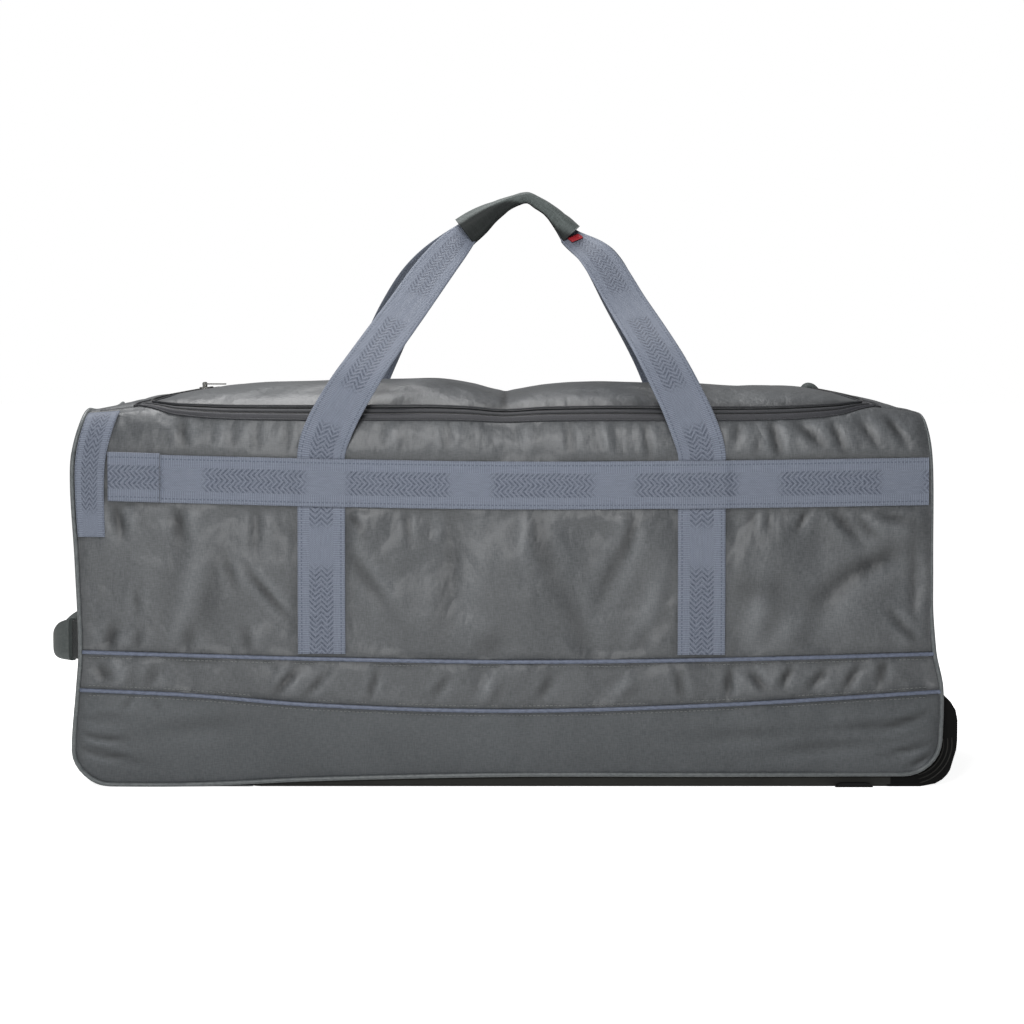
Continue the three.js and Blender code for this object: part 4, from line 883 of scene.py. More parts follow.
for side, sign in (("left", -1), ("right", 1)):
    u = np.linspace(0, 1, 18)[:, None]
    v = np.linspace(0, 1, 50)[None, :]
    girth = (upper_edge(sign * 450.0, 0) + SEAM_INSET / 2) * (1 - v) + (HINGE_GIRTH - 0.4) * v + 0 * u
    seam = left_seam(girth) + SEAM_INSET if sign < 0 else right_seam(girth) - SEAM_INSET
    edge = zip_side(side, girth) + sign * zip_gap(girth)
    share = u if sign < 0 else 1 - u
    x = seam * (1 - share) + edge * share
    border = np.minimum(np.minimum(u, 1 - u) * 80, np.minimum(v, 1 - v) * 270)
    relief = 2.0 * smooth_noise(on_bag(x, girth), 38.0, 9.1) * ease(border, 1, 12)
    sew(f"top_cloth_{side}", f"top_strip_{side}", on_bag(x, girth, relief), np.stack([x, girth], -1), thin_cloth,
        border < 2.0)

x, girth = cut_between(
    lambda x, u: np.full_like(x, HINGE_GIRTH + 0.4), lambda x, u: 2 * HALF_GIRTH - lower_edge(x, u) - SEAM_INSET,
    rounded_columns(8.0), 60)
u, v = np.linspace(0, 1, x.shape[0])[:, None], np.linspace(0, 1, 60)[None, :]
border = np.minimum(np.minimum(u, 1 - u) * 890, np.minimum(v, 1 - v) * 440)
strap_gap = np.minimum(np.abs(x - STRAP_LEFT), np.abs(x - STRAP_RIGHT))
under_strap = (strap_gap < 26) & (girth > HALF_GIRTH + HALF_TOP + FOLD) & (girth < 2 * HALF_GIRTH - 130)
loose = ease(border, 2, 20) * np.where(under_strap, 0, ease(strap_gap, 24, 36))
relief = 2.4 * smooth_noise(on_bag(x, girth), 60.0, 21.3) * loose
sew("back_cloth", "back_panel", on_bag(x, girth, relief), np.stack([x, girth], -1), heavy_cloth,
    (border < 4) | under_strap)
print("panels so far:", len(sewn_panels))

# %% [markdown]
# The two ends are stiffer, plainly finished panels. The left one runs down, round the lower corner and
# under the bag to the base board. The right one stops at the black kick panel above the wheels.

# %% Cut and sew the ends
END_TOP = {-1: 384.5, 1: 380.5}  # top edge of the left and right end panels


def end_half_depth(sign, z):
    up = np.clip((z - SIDE) / (END_TOP[sign] - SIDE + 0.5), 0, 1)
    return HALF_TOP + (FOLD_RADIUS - 1.8) * np.sqrt(1 - up**2)


def height_to_run(z):
    return np.where(z < SIDE, z, SIDE + FOLD_RADIUS * np.arcsin(np.clip((z - SIDE) / FOLD_RADIUS, 0, 1)))


def on_end(sign, y, z, lift=0.0):
    """Upright part of an end panel at depth y and height z, mm."""
    seam = left_seam(height_to_run(z)) if sign < 0 else right_seam(height_to_run(z))
    bulge = 1 - np.minimum(np.abs(y) / end_half_depth(sign, z), 1) ** 2
    up = np.sin(math.pi * np.clip((z - 40) / 350, 0, 1)) ** 0.7
    return np.stack([seam + sign * (END_BULGE * bulge * up + lift), y, z], -1)


def on_corner(sign, y, run):
    """Lower corner of an end, from under the bag round to the upright wall, mm."""
    centre = left_seam(50.0) + CORNER_RADIUS if sign < 0 else right_seam(50.0) - CORNER_RADIUS
    turn = np.clip(run / CORNER_RADIUS, 0, math.pi / 2)
    lowest = UNDER_LEFT if sign < 0 else UNDER_RIGHT
    x = centre + sign * (CORNER_RADIUS * np.sin(turn) + np.minimum(run, 0))
    return np.stack([x, y, CORNER_RADIUS + lowest - CORNER_RADIUS * np.cos(turn)], -1)


QUARTER = CORNER_RADIUS * math.pi / 2
BASE_LEFT, BASE_RIGHT, KICK_TOP, HOUSING_IN = -273.0, 403.5, 90.0, 130.0
UNDER_LEFT, UNDER_RIGHT = -5.2, 0.8  # underside of the cloth at the two ends
BASE_LAP = 7.0  # mm of the left end's cloth inside the base board
KICK_GAP = 4.8  # mm from the kick panel's top to the right end's cloth, which the accent cord fills
u = np.linspace(-1, 1, 46)[:, None]
end_half = SEAM_DEPTH - 1.2
under = BASE_LEFT + BASE_LAP - (left_seam(50.0) + CORNER_RADIUS)
corner_run = np.concatenate([np.linspace(-under, 0, 18)[:-1], np.linspace(0, QUARTER, 12)])[None, :]
upright = np.linspace(36, END_TOP[-1], 48)[None, :]
wall_foot = QUARTER - CORNER_RADIUS - UNDER_LEFT  # added to a height for the run along the cloth
corner_part = on_corner(-1, -u * end_half + 0 * corner_run, corner_run + 0 * u)
upright_part = on_end(-1, -u * end_half_depth(-1, upright), upright + 0 * u)
points = np.concatenate([corner_part, upright_part], 1)
cut = np.stack(np.broadcast_arrays(
    u * end_half, np.concatenate([corner_run, wall_foot + upright], 1)), -1)
border = np.minimum((1 - np.abs(u)) * end_half + 0 * cut[..., 1],
                    np.minimum(cut[..., 1] + under, wall_foot + END_TOP[-1] - cut[..., 1]))
points[..., 0] -= 1.8 * smooth_noise(points, 55.0, 31.0) * ease(border, 2, 20) * ease(points[..., 2], 40, 70)
sew("left_end_cloth", "left_end_panel", points, cut, heavy_cloth, border < 4)

upright = np.linspace(KICK_TOP + KICK_GAP, END_TOP[1], 44)[None, :]
points = on_end(1, u * end_half_depth(1, upright), upright + 0 * u)
cut = np.stack(np.broadcast_arrays(u * end_half, upright), -1)
border = np.minimum((1 - np.abs(u)) * end_half, np.minimum(upright - KICK_TOP - KICK_GAP, END_TOP[1] - upright))
points[..., 0] += 1.8 * smooth_noise(points, 55.0, 44.0) * ease(border, 2, 20)
sew("right_end_cloth", "right_end_panel", points, cut, heavy_cloth, border < 4)

kick_flat = right_seam(50.0) - CORNER_RADIUS - BASE_RIGHT - 3.5
corner_run = np.append(-kick_flat, np.linspace(0, QUARTER, 14))[None, :]
upright = np.linspace(42, KICK_TOP - 1.6, 9)[None, :]
u = np.linspace(-1, 1, 40)[:, None] * (HOUSING_IN - 0.5)
points = np.concatenate([
    on_corner(1, u + 0 * corner_run, corner_run + 0 * u), on_end(1, u + 0 * upright, upright + 0 * u)], 1)
cut = np.stack(np.broadcast_arrays(u, np.concatenate([corner_run, QUARTER + upright - CORNER_RADIUS], 1)), -1)
kick_cloth = grid_piece("kick_panel_sheet", points, cut, black_plastic)
finish_cloth(kick_cloth)
print("panels sewn:", sorted(sewn_panels))

# %% [markdown]
# Piping runs in every seam. A tube along the seam line does it: a ring of points is carried along the
# path without twisting, and the ring's length is kept as the strip's own coordinate for its puckers.
# Beside the accents the cloth is topstitched: each stitch is a short bar of thread.

# %% Piping and stitches
EDGE_CORD, ACCENT_CORD = 2.2, 2.1  # radius, mm
trim = {}


def unit(vectors):
    return vectors / np.linalg.norm(vectors, axis=-1, keepdims=True)


def run_length(path):
    return np.concatenate([[0], np.cumsum(np.linalg.norm(np.diff(path, axis=0), axis=1))])


def tube(name, path, radius, finish, sides=12):
    """Round cord along a path in mm."""
    ahead = unit(np.gradient(path, axis=0))
    normal = np.array([0.0, -1.0, 0.2])
    rings = []
    turn = np.arange(sides) * 2 * math.pi / sides
    for place, way in zip(path, ahead):
        normal = unit(normal - way * normal.dot(way))
        other = np.cross(way, normal)
        rings.append(place + radius * (np.cos(turn)[:, None] * normal + np.sin(turn)[:, None] * other))
    around = np.append(turn, 2 * math.pi) * radius
    cut = np.stack(np.broadcast_arrays(run_length(path)[:, None], around[None, :]), -1)
    return grid_piece(name, np.array(rings), cut, finish, ring=True)


def edge_path(front):
    """Seam line down one end, along the foot and up the other end."""
    beside = 1.5
    around = (lambda g: g) if front else (lambda g: 2 * HALF_GIRTH - g)
    fall = np.linspace(SIDE + 2, 46, 72)
    u = rounded_columns(7.0)
    edge = lower_edge(-450 + 900 * u, u)
    x = left_seam(edge) + (right_seam(edge) - left_seam(edge)) * u
    lean = corner_reach(u) / CORNER_RADIUS
    foot = on_bag(x + np.sign(x) * beside * lean, around(edge - beside * np.sqrt(1 - lean**2)), beside)
    down = on_bag(left_seam(fall) - beside, around(fall), beside)
    shown = 1 - ease(fall[::-1], 135, 190)  # higher up, the right seam turns out of sight
    rise = on_bag(right_seam(fall[::-1]) + beside * shown, around(fall[::-1]), beside - 3.5 * (1 - shown))
    return np.concatenate([down, foot, rise])


def top_path(sign):
    girth = np.linspace(SIDE - 2, 2 * HALF_GIRTH - SIDE + 2, 150)
    seam = left_seam(girth) - 1.5 if sign < 0 else right_seam(girth)
    return on_bag(seam, girth, 0.5 if sign < 0 else -2.0)


def accent_path(line):
    u = np.linspace(0, 1, 180)
    girth = front_line(line, -446 + 892 * u)
    x = left_seam(girth) + 0.8 + (right_seam(girth) - left_seam(girth) - 0.6) * u
    return on_bag(x, front_line(line, x), 1.5)


CORDS = {
    "edge_piping_front": ("front_edge_cord", edge_path(True), EDGE_CORD, grey_piping),
    "edge_piping_back": ("back_edge_cord", edge_path(False), EDGE_CORD, grey_piping),
    "edge_piping_top_left": ("left_top_cord", top_path(-1), EDGE_CORD, grey_piping),
    "edge_piping_top_right": ("right_top_cord", top_path(1), EDGE_CORD, grey_piping),
    "accent_piping_upper": ("upper_accent_cord", accent_path("high"), ACCENT_CORD, accent_piping),
    "accent_piping_lower": ("lower_accent_cord", accent_path("low"), ACCENT_CORD, accent_piping),
}
for node, (name, path, radius, finish) in CORDS.items():
    trim[node] = tube(name, path, radius, finish)
STITCH_LONG, STITCH_APART, STITCH_RADIUS, STITCH_OFF = 2.6, 4.4, 0.5, 5.2  # mm


def stitch_row(name, path, finish):
    """Short round stitches one after another along a path in mm, as one mesh."""
    run = run_length(path)
    turn = np.arange(6) * math.pi / 3
    outward = np.array([0.0, -1.0, 0.1])
    points, faces = [], []
    for start in np.arange(2, run[-1] - STITCH_LONG, STITCH_APART):
        ends = [np.array([np.interp(at, run, path[:, axis]) for axis in range(3)])
                for at in (start, start + STITCH_LONG)]
        way = unit(ends[1] - ends[0])
        normal = unit(outward - way * way.dot(outward))
        other = np.cross(way, normal)
        first = len(points)
        for place in ends:
            points += [place + STITCH_RADIUS * (math.cos(t) * normal + math.sin(t) * other) for t in turn]
        faces += [(first + i, first + (i + 1) % 6, first + 6 + (i + 1) % 6, first + 6 + i) for i in range(6)]
        faces += [tuple(range(first + 5, first - 1, -1)), tuple(range(first + 6, first + 12))]
    return solid_piece(name, points, faces, finish)



stitches = {}
STITCH_ROWS = [("high", "below", "front_band_panel"), ("low", "above", "front_band_panel"),
               ("low", "below", "front_lower_panel")]
for line, side, node in STITCH_ROWS:
    x = np.linspace(-440, 440, 300)
    path = on_bag(x, front_line(line, x) + (STITCH_OFF if side == "above" else -STITCH_OFF), 0.35)
    stitches[stitch_row(f"stitches_{side}_{line}_accent", path, grey_thread)] = node
end_depth = np.linspace(-168, 168, 60)
trim["accent_piping_end"] = tube(
    "end_accent_cord", on_end(1, end_depth, np.full(60, KICK_TOP + 2.4), 1.9), ACCENT_CORD, accent_piping)
print("piping:", len(trim), "cords and", len(stitches), "rows of stitches")

# %% [markdown]
# Webbing is modelled directly, because a cloth solver would only blur it. Its section is a thin
# rounded bar with slightly thicker selvedges. Where it is sewn down it follows the bag at a fixed
# height above the cloth, and where two layers cross, the upper one rides over the lower.

# %% Belt, tab and corner patch
LAY = 0.65  # air under a layer of webbing, mm
HALF_PROFILE = [(-0.5, 0.0), (-0.488, 0.4), (-0.45, 0.6), (-0.4, 0.5), (-0.25, 0.5), (0.0, 0.5), (0.25, 0.5),
                (0.4, 0.5), (0.45, 0.6), (0.488, 0.4), (0.5, 0.0)]
PROFILE = np.array(HALF_PROFILE + [(a, -h) for a, h in HALF_PROFILE[-2:0:-1]])


def strap_piece(name, points, run, width, finish):
    """Closed webbing from rings of profile points, with run and width in mm."""
    share = np.append(PROFILE[:, 0], PROFILE[0, 0])[None, :]
    cut = np.stack(np.broadcast_arrays(np.asarray(run)[:, None], share * np.asarray(width).reshape(-1, 1)), -1)
    return grid_piece(name, points, cut, finish, ring=True)


def over_straps(x):
    """Extra height of the belt where it crosses the handle straps."""
    near = np.minimum(np.abs(x - STRAP_LEFT), np.abs(x - STRAP_RIGHT))
    return (WEBBING_THICK + LAY) * (1 - ease(near, 25, 33))


share, height = PROFILE[:, 0][None, :], PROFILE[:, 1][None, :]
belt_left, belt_right = left_seam(320.0) + 36, right_seam(320.0) - 3.0
x = np.linspace(belt_left, belt_right, 230)[:, None]
girth = front_line("belt", x) - WEBBING_WIDE / 2 + share * WEBBING_WIDE
lift = LAY + over_straps(x) + (height + 0.5) * WEBBING_THICK
trim["belt_front"] = strap_piece("front_belt", on_bag(x + 0 * share, girth, lift), x[:, 0], np.full(230, 50.0), webbing)

TAB_LENGTH = 55.0
x = np.linspace(belt_left + 0.5, belt_left + TAB_LENGTH, 30)[:, None]
girth = front_line("belt", x) + 1.5 - (WEBBING_WIDE + 1) / 2 + share * (WEBBING_WIDE + 1)
rolled = 0.9 * ease(x, belt_left + TAB_LENGTH - 6, belt_left + TAB_LENGTH)
lift = 2 * LAY + WEBBING_THICK + (height + 0.5) * (2.6 + rolled)
trim["belt_tab"] = strap_piece("belt_end_tab", on_bag(x + 0 * share, girth, lift), x[:, 0], np.full(30, 51.0), webbing)

girth = np.linspace(258, 396, 60)[:, None]
patch_wide = 29 + 5 * (girth - 258) / 138
x = left_seam(girth) + 1.5 + patch_wide * (0.5 - share)
lift = 0.8 + (height + 0.5) * 3.8 * (1 - 0.5 * ease(girth, 384, 396))
trim["corner_patch"] = strap_piece(
    "corner_webbing", on_bag(x, girth + 0 * share, lift), girth[:, 0], np.full(60, 46.0), webbing)
print("sewn webbing:", trim["belt_front"].name, trim["belt_tab"].name, trim["corner_patch"].name)

# %% [markdown]
# The four handle legs start flat on the walls, pass under the belt, then lean inward to the grip.
# Each leg turns on its way, so that its face lies on the grip's sloping flaps. The free part is
# listed as a few places of its mid line with the share of that turn, and a smooth curve joins them.

# %% Carry handles
LEGS = {
    # x, y, z of the mid line in mm, and the share of the turn to the grip
    "handle_front_left": [
        (-187, -185, 366, 0), (-173, -179, 395, 0.08), (-150, -160, 433, 0.2), (-104, -92, 501, 0.5),
        (-74, -48, 545, 0.8)],
    "handle_front_right": [
        (197, -185, 366, 0), (184, -179, 398, 0.08), (159, -150, 449, 0.2), (129, -90, 501, 0.5), (97, -44, 554, 0.8)],
    "handle_back_left": [
        (-184, 185, 368, 0), (-169, 180, 402, 0.08), (-151, 163, 440, 0.2), (-117, 100, 505, 0.5), (-86, 50, 545, 0.8)],
    "handle_back_right": [
        (197, 185, 368, 0), (187, 180, 402, 0.08), (170, 163, 440, 0.2), (131, 98, 506, 0.5), (102, 46, 554, 0.8)],
}
GRIP = {
    "x": [-57, -36, -18, 4, 22, 35, 49, 66, 80],
    "z": [594.5, 605.8, 613, 619.4, 623.5, 618.4, 610.7, 598.6, 587],
    "tilt": [37, 28, 20, 12, -4, -22, -32, -41, -47],
    "half": [25, 24, 23, 20, 19, 20, 22, 24, 25],
    "drop": [34, 29, 21, 13, 12, 13, 14, 20, 26],
    "thick": [7, 8, 8, 9, 9, 9, 8, 7, 7],
}


def grip_frame(x):
    """Ridge, along and outward directions of the grip at x, and its sizes."""
    sizes = {column: along(GRIP, "x", column, x) for column in ("z", "tilt", "half", "drop", "thick")}
    tilt = np.radians(sizes["tilt"])
    zero = np.zeros_like(tilt)
    ridge = np.stack([np.asarray(x, float) + zero, zero, sizes["z"] + zero], -1)
    way = np.stack([np.cos(tilt), zero, np.sin(tilt)], -1)
    return ridge, way, np.stack([-np.sin(tilt), zero, np.cos(tilt)], -1), sizes


def smooth_path(keys, values, at):
    """Each column of values as a smooth curve over keys."""
    return np.stack([along({"s": keys, "v": column}, "s", "v", at) for column in np.array(values).T], -1)


def leg_end(sign, face):
    """Where a leg meets the grip: its middle, the directions across and along it, and the flap's slope."""
    ridge, way, out, size = grip_frame(float(GRIP["x"][0 if sign < 0 else -1]))
    flap = np.array([0, -face * size["half"], 0]) - out * size["drop"]
    slope = np.linalg.norm(flap)
    flap = flap / slope
    return ridge + way * sign * 0.6 + flap * slope * 0.46 - out * size["thick"] * 0.5, flap, way, slope


INSIDE_WRAP = 14.0  # mm of webbing hidden in the wrap


def handle_leg(name):
    """One leg of a handle: up the wall, free through its listed places, and into the wrap."""
    face = 1 if "front" in name else -1
    sign = -1 if "left" in name else 1
    strap = STRAP_LEFT if sign < 0 else STRAP_RIGHT
    last, flap, way, slope = leg_end(sign, face)
    lowest = front_line("high", strap) + ACCENT_CORD + 3.4 if face > 0 else 134.0
    centres, across, widths = [], [], []
    for girth in np.linspace(lowest, 345, 9):
        around = girth if face > 0 else 2 * HALF_GIRTH - girth
        centres.append(on_bag(strap, around, LAY + WEBBING_THICK / 2))
        reach = sign * WEBBING_WIDE / 2
        across.append(unit(on_bag(strap - reach, around) - on_bag(strap + reach, around)))
        widths.append(WEBBING_WIDE)
    inward = np.array([-sign, 0.0, 0.0])
    for x, y, z, turn in LEGS[name]:
        centres.append(np.array([x, y, z], float))
        across.append(inward * (1 - turn) + flap * turn)
        widths.append(WEBBING_WIDE * (1 - 0.16 * turn))
    for inside in (0.0, INSIDE_WRAP):
        centres.append(last - way * sign * inside)
        across.append(flap)
        widths.append(slope * (0.76 - 0.3 * inside / INSIDE_WRAP))
    keys = run_length(np.array(centres))
    at = np.linspace(0, keys[-1], 150)
    centre = smooth_path(keys, centres, at)
    ahead = unit(np.gradient(centre, axis=0))
    side_way = smooth_path(keys, across, at)
    side_way = unit(side_way - ahead * (side_way * ahead).sum(-1, keepdims=True))
    normal = np.cross(side_way, ahead)
    width = smooth_path(keys, np.array(widths)[:, None], at)
    points = (centre[:, None] + side_way[:, None] * (PROFILE[:, 0] * width)[..., None]
              + normal[:, None] * (PROFILE[:, 1] * WEBBING_THICK)[None, :, None])
    return strap_piece(name.replace("handle", "carry_webbing"), points, at, np.full(150, WEBBING_WIDE), webbing)


for name in LEGS:
    trim[name] = handle_leg(name)
print("carry webbing:", len(LEGS), "legs")

# %% [markdown]
# The grip is a padded cloth wrap closed round the four legs. It hangs like a small roof: narrow and
# rolled in the middle where a hand pulls it, and open flaps at both ends. It starts from that roof as
# a closed shell, and a cloth simulation with a little pressure fills it.

# %% Grip wrap and its tag
GRIP_SECTION = {"share": [0, 0.34, 0.67, 1], "wide": [0, 0.66, 1, 0.86], "down": [0, 0.1, 0.36, 1]}
FLAP_THICK = 5.0


def grip_shell(columns, rows):
    x = np.linspace(GRIP["x"][0], GRIP["x"][-1], columns)
    ridge, way, out, size = grip_frame(x)
    side = np.linspace(-1, 1, rows)[None, :]
    share = np.abs(side)
    down = size["drop"][:, None] * along(GRIP_SECTION, "share", "down", share)
    wide = size["half"][:, None] * along(GRIP_SECTION, "share", "wide", share)
    layers = []
    for inner in (0, 1):
        lower = inner * size["thick"][:, None] * (1 - share**2)
        place = ridge[:, None] - out[:, None] * (down + lower)[..., None]
        place[..., 1] = np.sign(side) * (wide - inner * FLAP_THICK * share)
        layers.append(place)
    ring = np.concatenate([layers[0], layers[1][:, ::-1]], 1)
    around = np.concatenate([[0], np.cumsum(np.linalg.norm(np.diff(ring[columns // 2], axis=0), axis=1)), [110]])
    cut = np.stack(np.broadcast_arrays(run_length(ridge)[:, None], around[None, :]), -1)
    return ring, cut


ring, cut = grip_shell(56, 25)
grip = grid_piece("grip_wrap_cloth", ring, cut, wrap_cloth, ring=True)
# painted shading: the roof is painted lighter, a painted highlight of the light from above, and the flaps below a fold
# line and the underside are painted dark, a painted shadow
FOLD_LINE = {"x": [-57, -18, 4, 22, 49, 80], "share": [0.5, 0.56, 0.72, 1.2, 1.1, 0.78]}
rim = np.abs(np.linspace(-1, 1, 25))[None, :]
fold_line = along(FOLD_LINE, "x", "share", np.linspace(GRIP["x"][0], GRIP["x"][-1], 56))[:, None]
grip_painted_shading = 0.9 - 1.9 * ease(rim - fold_line, -0.05, 0.05)
mark_painted_shading(grip, np.concatenate([grip_painted_shading, np.full((56, 25), -1.0)], 1))
ends = np.zeros(ring.shape[:2])
ends[[0, -1]] = 1.0
buckle(grip, ends.ravel())
round_off(grip)
trim["grip_wrap"] = grip

# folded loop of ribbon on the front right leg: out from the wrap, round, and back
TAG_OUT, TAG_HALF = 9.5, 7.0
leg_top, flap, _, _ = leg_end(1, 1)
leg_way = unit(np.array(LEGS["handle_front_right"][-1][:3], float) - leg_top)
across = unit(flap - leg_way * flap.dot(leg_way))
face = np.cross(across, leg_way)
loop = np.array([(-5.5, 1.4), (-2, 1.3), (2, 1.2), (4, 1.3), (4.8, 2.2), (4.2, 3.2), (2, 3.6), (-2, 3.4), (-5.5, 2.6)])
spread = np.linspace(-TAG_HALF, TAG_HALF, 8)
tag_points = (leg_top + leg_way * TAG_OUT + loop[:, :1, None] * leg_way + loop[:, 1:, None] * face
              + spread[None, :, None] * across)
tag_cut = np.stack(np.broadcast_arrays(run_length(loop)[:, None], spread[None, :]), -1)
tag = grid_piece("folded_ribbon_tag", tag_points, tag_cut, red_ribbon)
finish_cloth(tag, thick_mm=0.6)
trim["grip_tag"] = tag
print("grip:", grip.name, "tag:", tag.name)

# %% [markdown]
# The tow handle is a loop of dark webbing sewn across the left end, with a padded sleeve where the
# hand holds it. The strap is webbing again, and the sleeve is a closed ring round it that a little
# pressure fills.

# %% Tow handle
TOW_SEAM = 136.0  # girth where it meets the end
TOW = {
    "y": [-118, -100, -88, -76, -52, -26, 0, 26, 52, 76, 88, 100, 118],
    "out": [8, 9.3, 11.5, 22, 39, 47.5, 49.5, 47.5, 39, 22, 11.5, 9.3, 8],
    "z": [140, 140, 140, 139.5, 136, 132, 131, 132, 136, 139.5, 140, 140, 140],
    "wide": [42, 42, 42, 42, 36, 24, 17, 24, 36, 42, 42, 42, 42],
}


def tow_frame(y):
    """Mid line of the tow webbing, its outward direction and its width."""
    line = np.stack([left_seam(TOW_SEAM) - along(TOW, "y", "out", y), y, along(TOW, "y", "z", y)], -1)
    ahead = unit(np.gradient(line, axis=0))
    return line, unit(np.cross(ahead, np.array([0.0, 0.0, -1.0]))), along(TOW, "y", "wide", y)


up = np.array([0.0, 0.0, 1.0])
line, out, wide = tow_frame(np.linspace(-118, 118, 110))
points = (line[:, None] + up * (wide[:, None] * PROFILE[:, 0])[..., None]
          + out[:, None] * (PROFILE[:, 1] * WEBBING_THICK)[None, :, None])
trim["tow_handle_strap"] = strap_piece("tow_webbing", points, run_length(line), wide, dark_webbing)

line, out, wide = tow_frame(np.linspace(-72, 72, 60))
turn = np.linspace(0, 2 * math.pi, 29)[:-1]
SQUARE, PAD_UP, PAD_OUT = 0.45, 2.4, 5.4  # squareness of the sleeve's section, and its padding in mm
pad_up = np.sign(np.sin(turn)) * np.abs(np.sin(turn)) ** SQUARE * (wide[:, None] / 2 + PAD_UP)
pad_out = np.sign(np.cos(turn)) * np.abs(np.cos(turn)) ** SQUARE * PAD_OUT
ring = line[:, None] + up * pad_up[..., None] + out[:, None] * pad_out[None, :, None]
cut = np.stack(np.broadcast_arrays(run_length(line)[:, None], np.append(turn, 2 * math.pi)[None, :] * 20), -1)
sleeve = grid_piece("tow_sleeve", ring, cut, sleeve_cloth, ring=True)
ends = np.zeros(ring.shape[:2])
ends[[0, -1]] = 1.0
buckle(sleeve, ends.ravel())
round_off(sleeve)
trim["tow_handle_pad"] = sleeve
print("tow handle:", trim["tow_handle_strap"].name, sleeve.name)

# %% [markdown]
# The zip runs up the left return, along the front of the lid and down the right return. Its tapes are
# strips that follow the same U at a fixed distance from the zip line: flat where they are sewn, and
# rolled down into the slit where they meet over the hidden coil.

# %% Zip
ZIP_END, ZIP_GROOVE = 622.0, 1.6


def zip_line(w):
    """x and girth along the U at a distance w from the zip line, inward positive."""
    left_corner, right_corner = zip_side("left", 415.0), zip_side("right", 413.0)
    t = np.linspace(0, 1, 60)
    rise = zip_front(left_corner + w) + w
    fall = zip_front(right_corner - w) + w
    left_girth = ZIP_END + (rise - ZIP_END) * t
    front_x = left_corner + w + (right_corner - left_corner - 2 * w) * np.linspace(0, 1, 240)[1:-1]
    right_girth = fall + (ZIP_END - fall) * t
    x = np.concatenate([zip_side("left", left_girth) + w, front_x, zip_side("right", right_girth) - w])
    return x, np.concatenate([left_girth, zip_front(front_x) + w, right_girth])


def zip_tape(name, offsets, lifts, finish):
    """Strip along the zip through offsets and heights from its sewn edge to the slit."""
    places = [on_bag(*zip_line(w), lift) for w, lift in zip(offsets, lifts)]
    points = np.stack(places, 1)
    cut = np.stack(np.broadcast_arrays(run_length(places[0])[:, None], np.array(offsets)[None, :]), -1)
    piece = grid_piece(name, points, cut, finish)
    wall = piece.modifiers.new("thickness", "SOLIDIFY")
    wall.thickness = 0.7 * MM
    return piece


sewn_edge = ZIP_HALF - ZIP_GROOVE + 1.2
trim["zip_tape_body"] = zip_tape(
    "zip_tape_front", [-sewn_edge, -5.2, -3.4, -2.0, -1.1, -0.7], [-1.3, -0.5, 0.3, 0.6, 0.1, -1.4], zip_twill)
trim["zip_tape_lid"] = zip_tape(
    "zip_tape_back", [0.7, 1.1, 2.0, 3.4, 5.2, sewn_edge], [-1.4, 0.1, 0.6, 0.3, -0.5, -1.3], zip_dark)
coil_x, coil_girth = zip_line(0.0)
coil = tube("zip_coil", on_bag(coil_x, coil_girth, -1.6 + 2.8 * ease(coil_girth, 424, 446)), 1.6, zip_coil, sides=8)
front_seam = tube("zip_front_seam", on_bag(*zip_line(-ZIP_HALF - 0.9), 0.5), 1.0, zip_dark, sides=8)
# the lid's seam: a dark cord that is also painted shadow, the shade under the lid's rolled edge
lid_shadow_seam = tube("zip_lid_painted_shadow_seam", on_bag(*zip_line(ZIP_HALF + 0.9), 0.5), 1.0, zip_dark, sides=8)

u, v = np.linspace(-1, 1, 14)[:, None], np.linspace(-1, 1, 14)[None, :]
girth = 587 + 9.5 * v + 0 * u
x = zip_side("right", girth) + 8.5 * u
puff = 3.4 + 3.0 * (1 - u**2) + 1.2 * np.sin(3 * v + 2 * u)
points = on_bag(x, girth, puff * (1 - 0.75 * np.maximum(np.abs(u), np.abs(v)) ** 6))
end_tab = grid_piece("zip_end_fold", points, np.stack([x, girth], -1), wrap_cloth)
finish_cloth(end_tab, thick_mm=2.0)
trim["zip_end_tab"] = end_tab
print("zip:", trim["zip_tape_body"].name, trim["zip_tape_lid"].name, coil.name, end_tab.name)

# %% [markdown]
# Each wheel housing ends in a rounded flange that closes the lower corner beside the wheel. It is a
# thin plate with the outline seen in the photograph, and a few raised ribs follow its curve.

# %% Wheel guards
GUARD = [(400, -5.9), (435, -5.9), (450.6, -2.9), (457.9, 1.3), (463.1, 6.5), (466.3, 11.8), (469.4, 22.4),
         (472.5, 33), (473.6, 43.5), (473.6, 64.5), (471.5, 75), (466, 84), (459, 91), (452, 94), (400, 94)]
GUARD_FACE, GUARD_THICK = 170.6, 1.9
RIB_CENTRE = (425.0, 40.0)
guards = {}


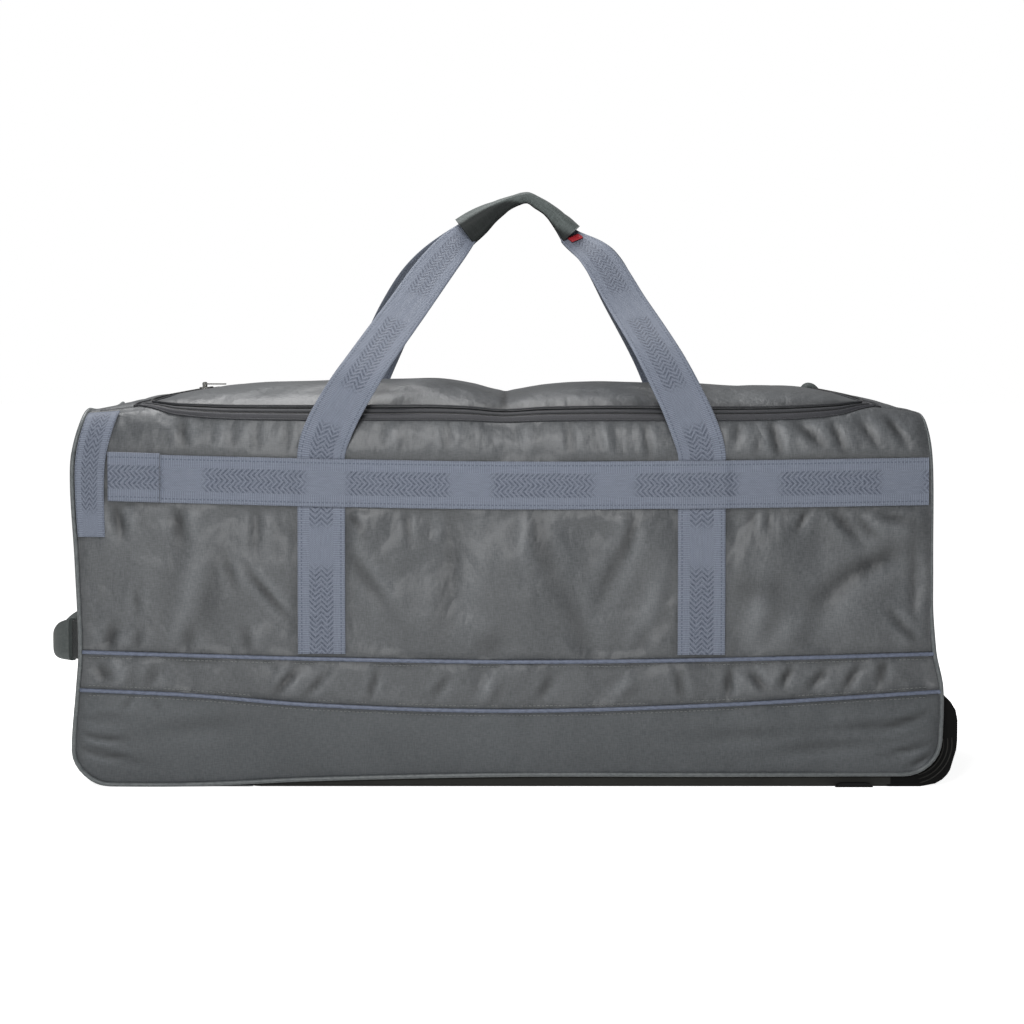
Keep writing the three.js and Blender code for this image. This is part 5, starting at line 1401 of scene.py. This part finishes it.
def wheel_guard(name, face):
    """Flat plate with the guard's outline on one face of the bag."""
    count = len(GUARD)
    depth = face * GUARD_FACE
    points = [(x, depth, z) for x, z in GUARD] + [(x, depth - face * GUARD_THICK, z) for x, z in GUARD]
    sides = [(i, (i + 1) % count, count + (i + 1) % count, count + i) for i in range(count)]
    faces = [list(range(count))[::-1], list(range(count, 2 * count))] + sides
    plate = solid_piece(name, points, faces, black_plastic)
    edge = plate.modifiers.new("soft_edges", "BEVEL")
    edge.width = 0.6 * MM
    edge.segments = 2
    return plate


for side, face in (("front", -1), ("back", 1)):
    guards[wheel_guard(f"wheel_guard_{side}", face)] = f"wheel_housing_{side}"
    turn = np.radians(np.linspace(-78, 8, 26))
    for radius in (34, 38.5, 43):
        rib = np.stack([RIB_CENTRE[0] + radius * np.cos(turn), np.full(26, face * GUARD_FACE),
                        RIB_CENTRE[1] + radius * np.sin(turn)], -1)
        guards[tube(f"wheel_guard_rib_{side}_{radius:g}", rib, 0.7, base_board, sides=8)] = f"wheel_housing_{side}"
print("guards:", len(guards), "pieces")

# %% [markdown]
# The hard nodes keep their CAD shape and take a finish. A small bevel goes on as a modifier, because
# no moulded or stamped edge is perfectly sharp, and a sharp one never catches the light.

# %% Finish the hard pieces
HARD_FINISH = {
    "base_panel": base_board, "base_foot_front": black_plastic, "base_foot_back": black_plastic,
    "wheel_housing_front": black_plastic, "wheel_housing_back": black_plastic,
    "wheel_front": black_rubber, "wheel_back": black_rubber,
    "axle_front": steel, "axle_back": steel, "zip_slider": nickel, "zip_pull": nickel,
}
for node, finish in HARD_FINISH.items():
    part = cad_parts[node]
    part.data.materials.clear()
    part.data.materials.append(finish)
    edge = part.modifiers.new("soft_edges", "BEVEL")
    edge.width = 0.4 * MM
    edge.segments = 2
    edge.limit_method = "ANGLE"
print("hard pieces:", len(HARD_FINISH))

# %% [markdown]
# Last, each piece is tied to the body it moves with, and the CAD nodes that pieces replace are
# hidden. The flat cut of each cloth panel was kept with it.


for node, piece in trim.items():
    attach(piece, "bag")
    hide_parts(node)
for piece, node in {**guards, **stitches}.items():
    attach(piece, "bag")
for piece, (node, slot) in {kick_cloth: ("right_kick_panel", "right_kick_panel"), coil: (None, "zip_tape_body"),
                            front_seam: (None, "zip_tape_body"), lid_shadow_seam: (None, "zip_tape_lid")}.items():
    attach(piece, "bag")
    if node:
        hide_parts(node)
for name, (piece, node, cut) in sewn_panels.items():
    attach(piece, "bag")
    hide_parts(node)
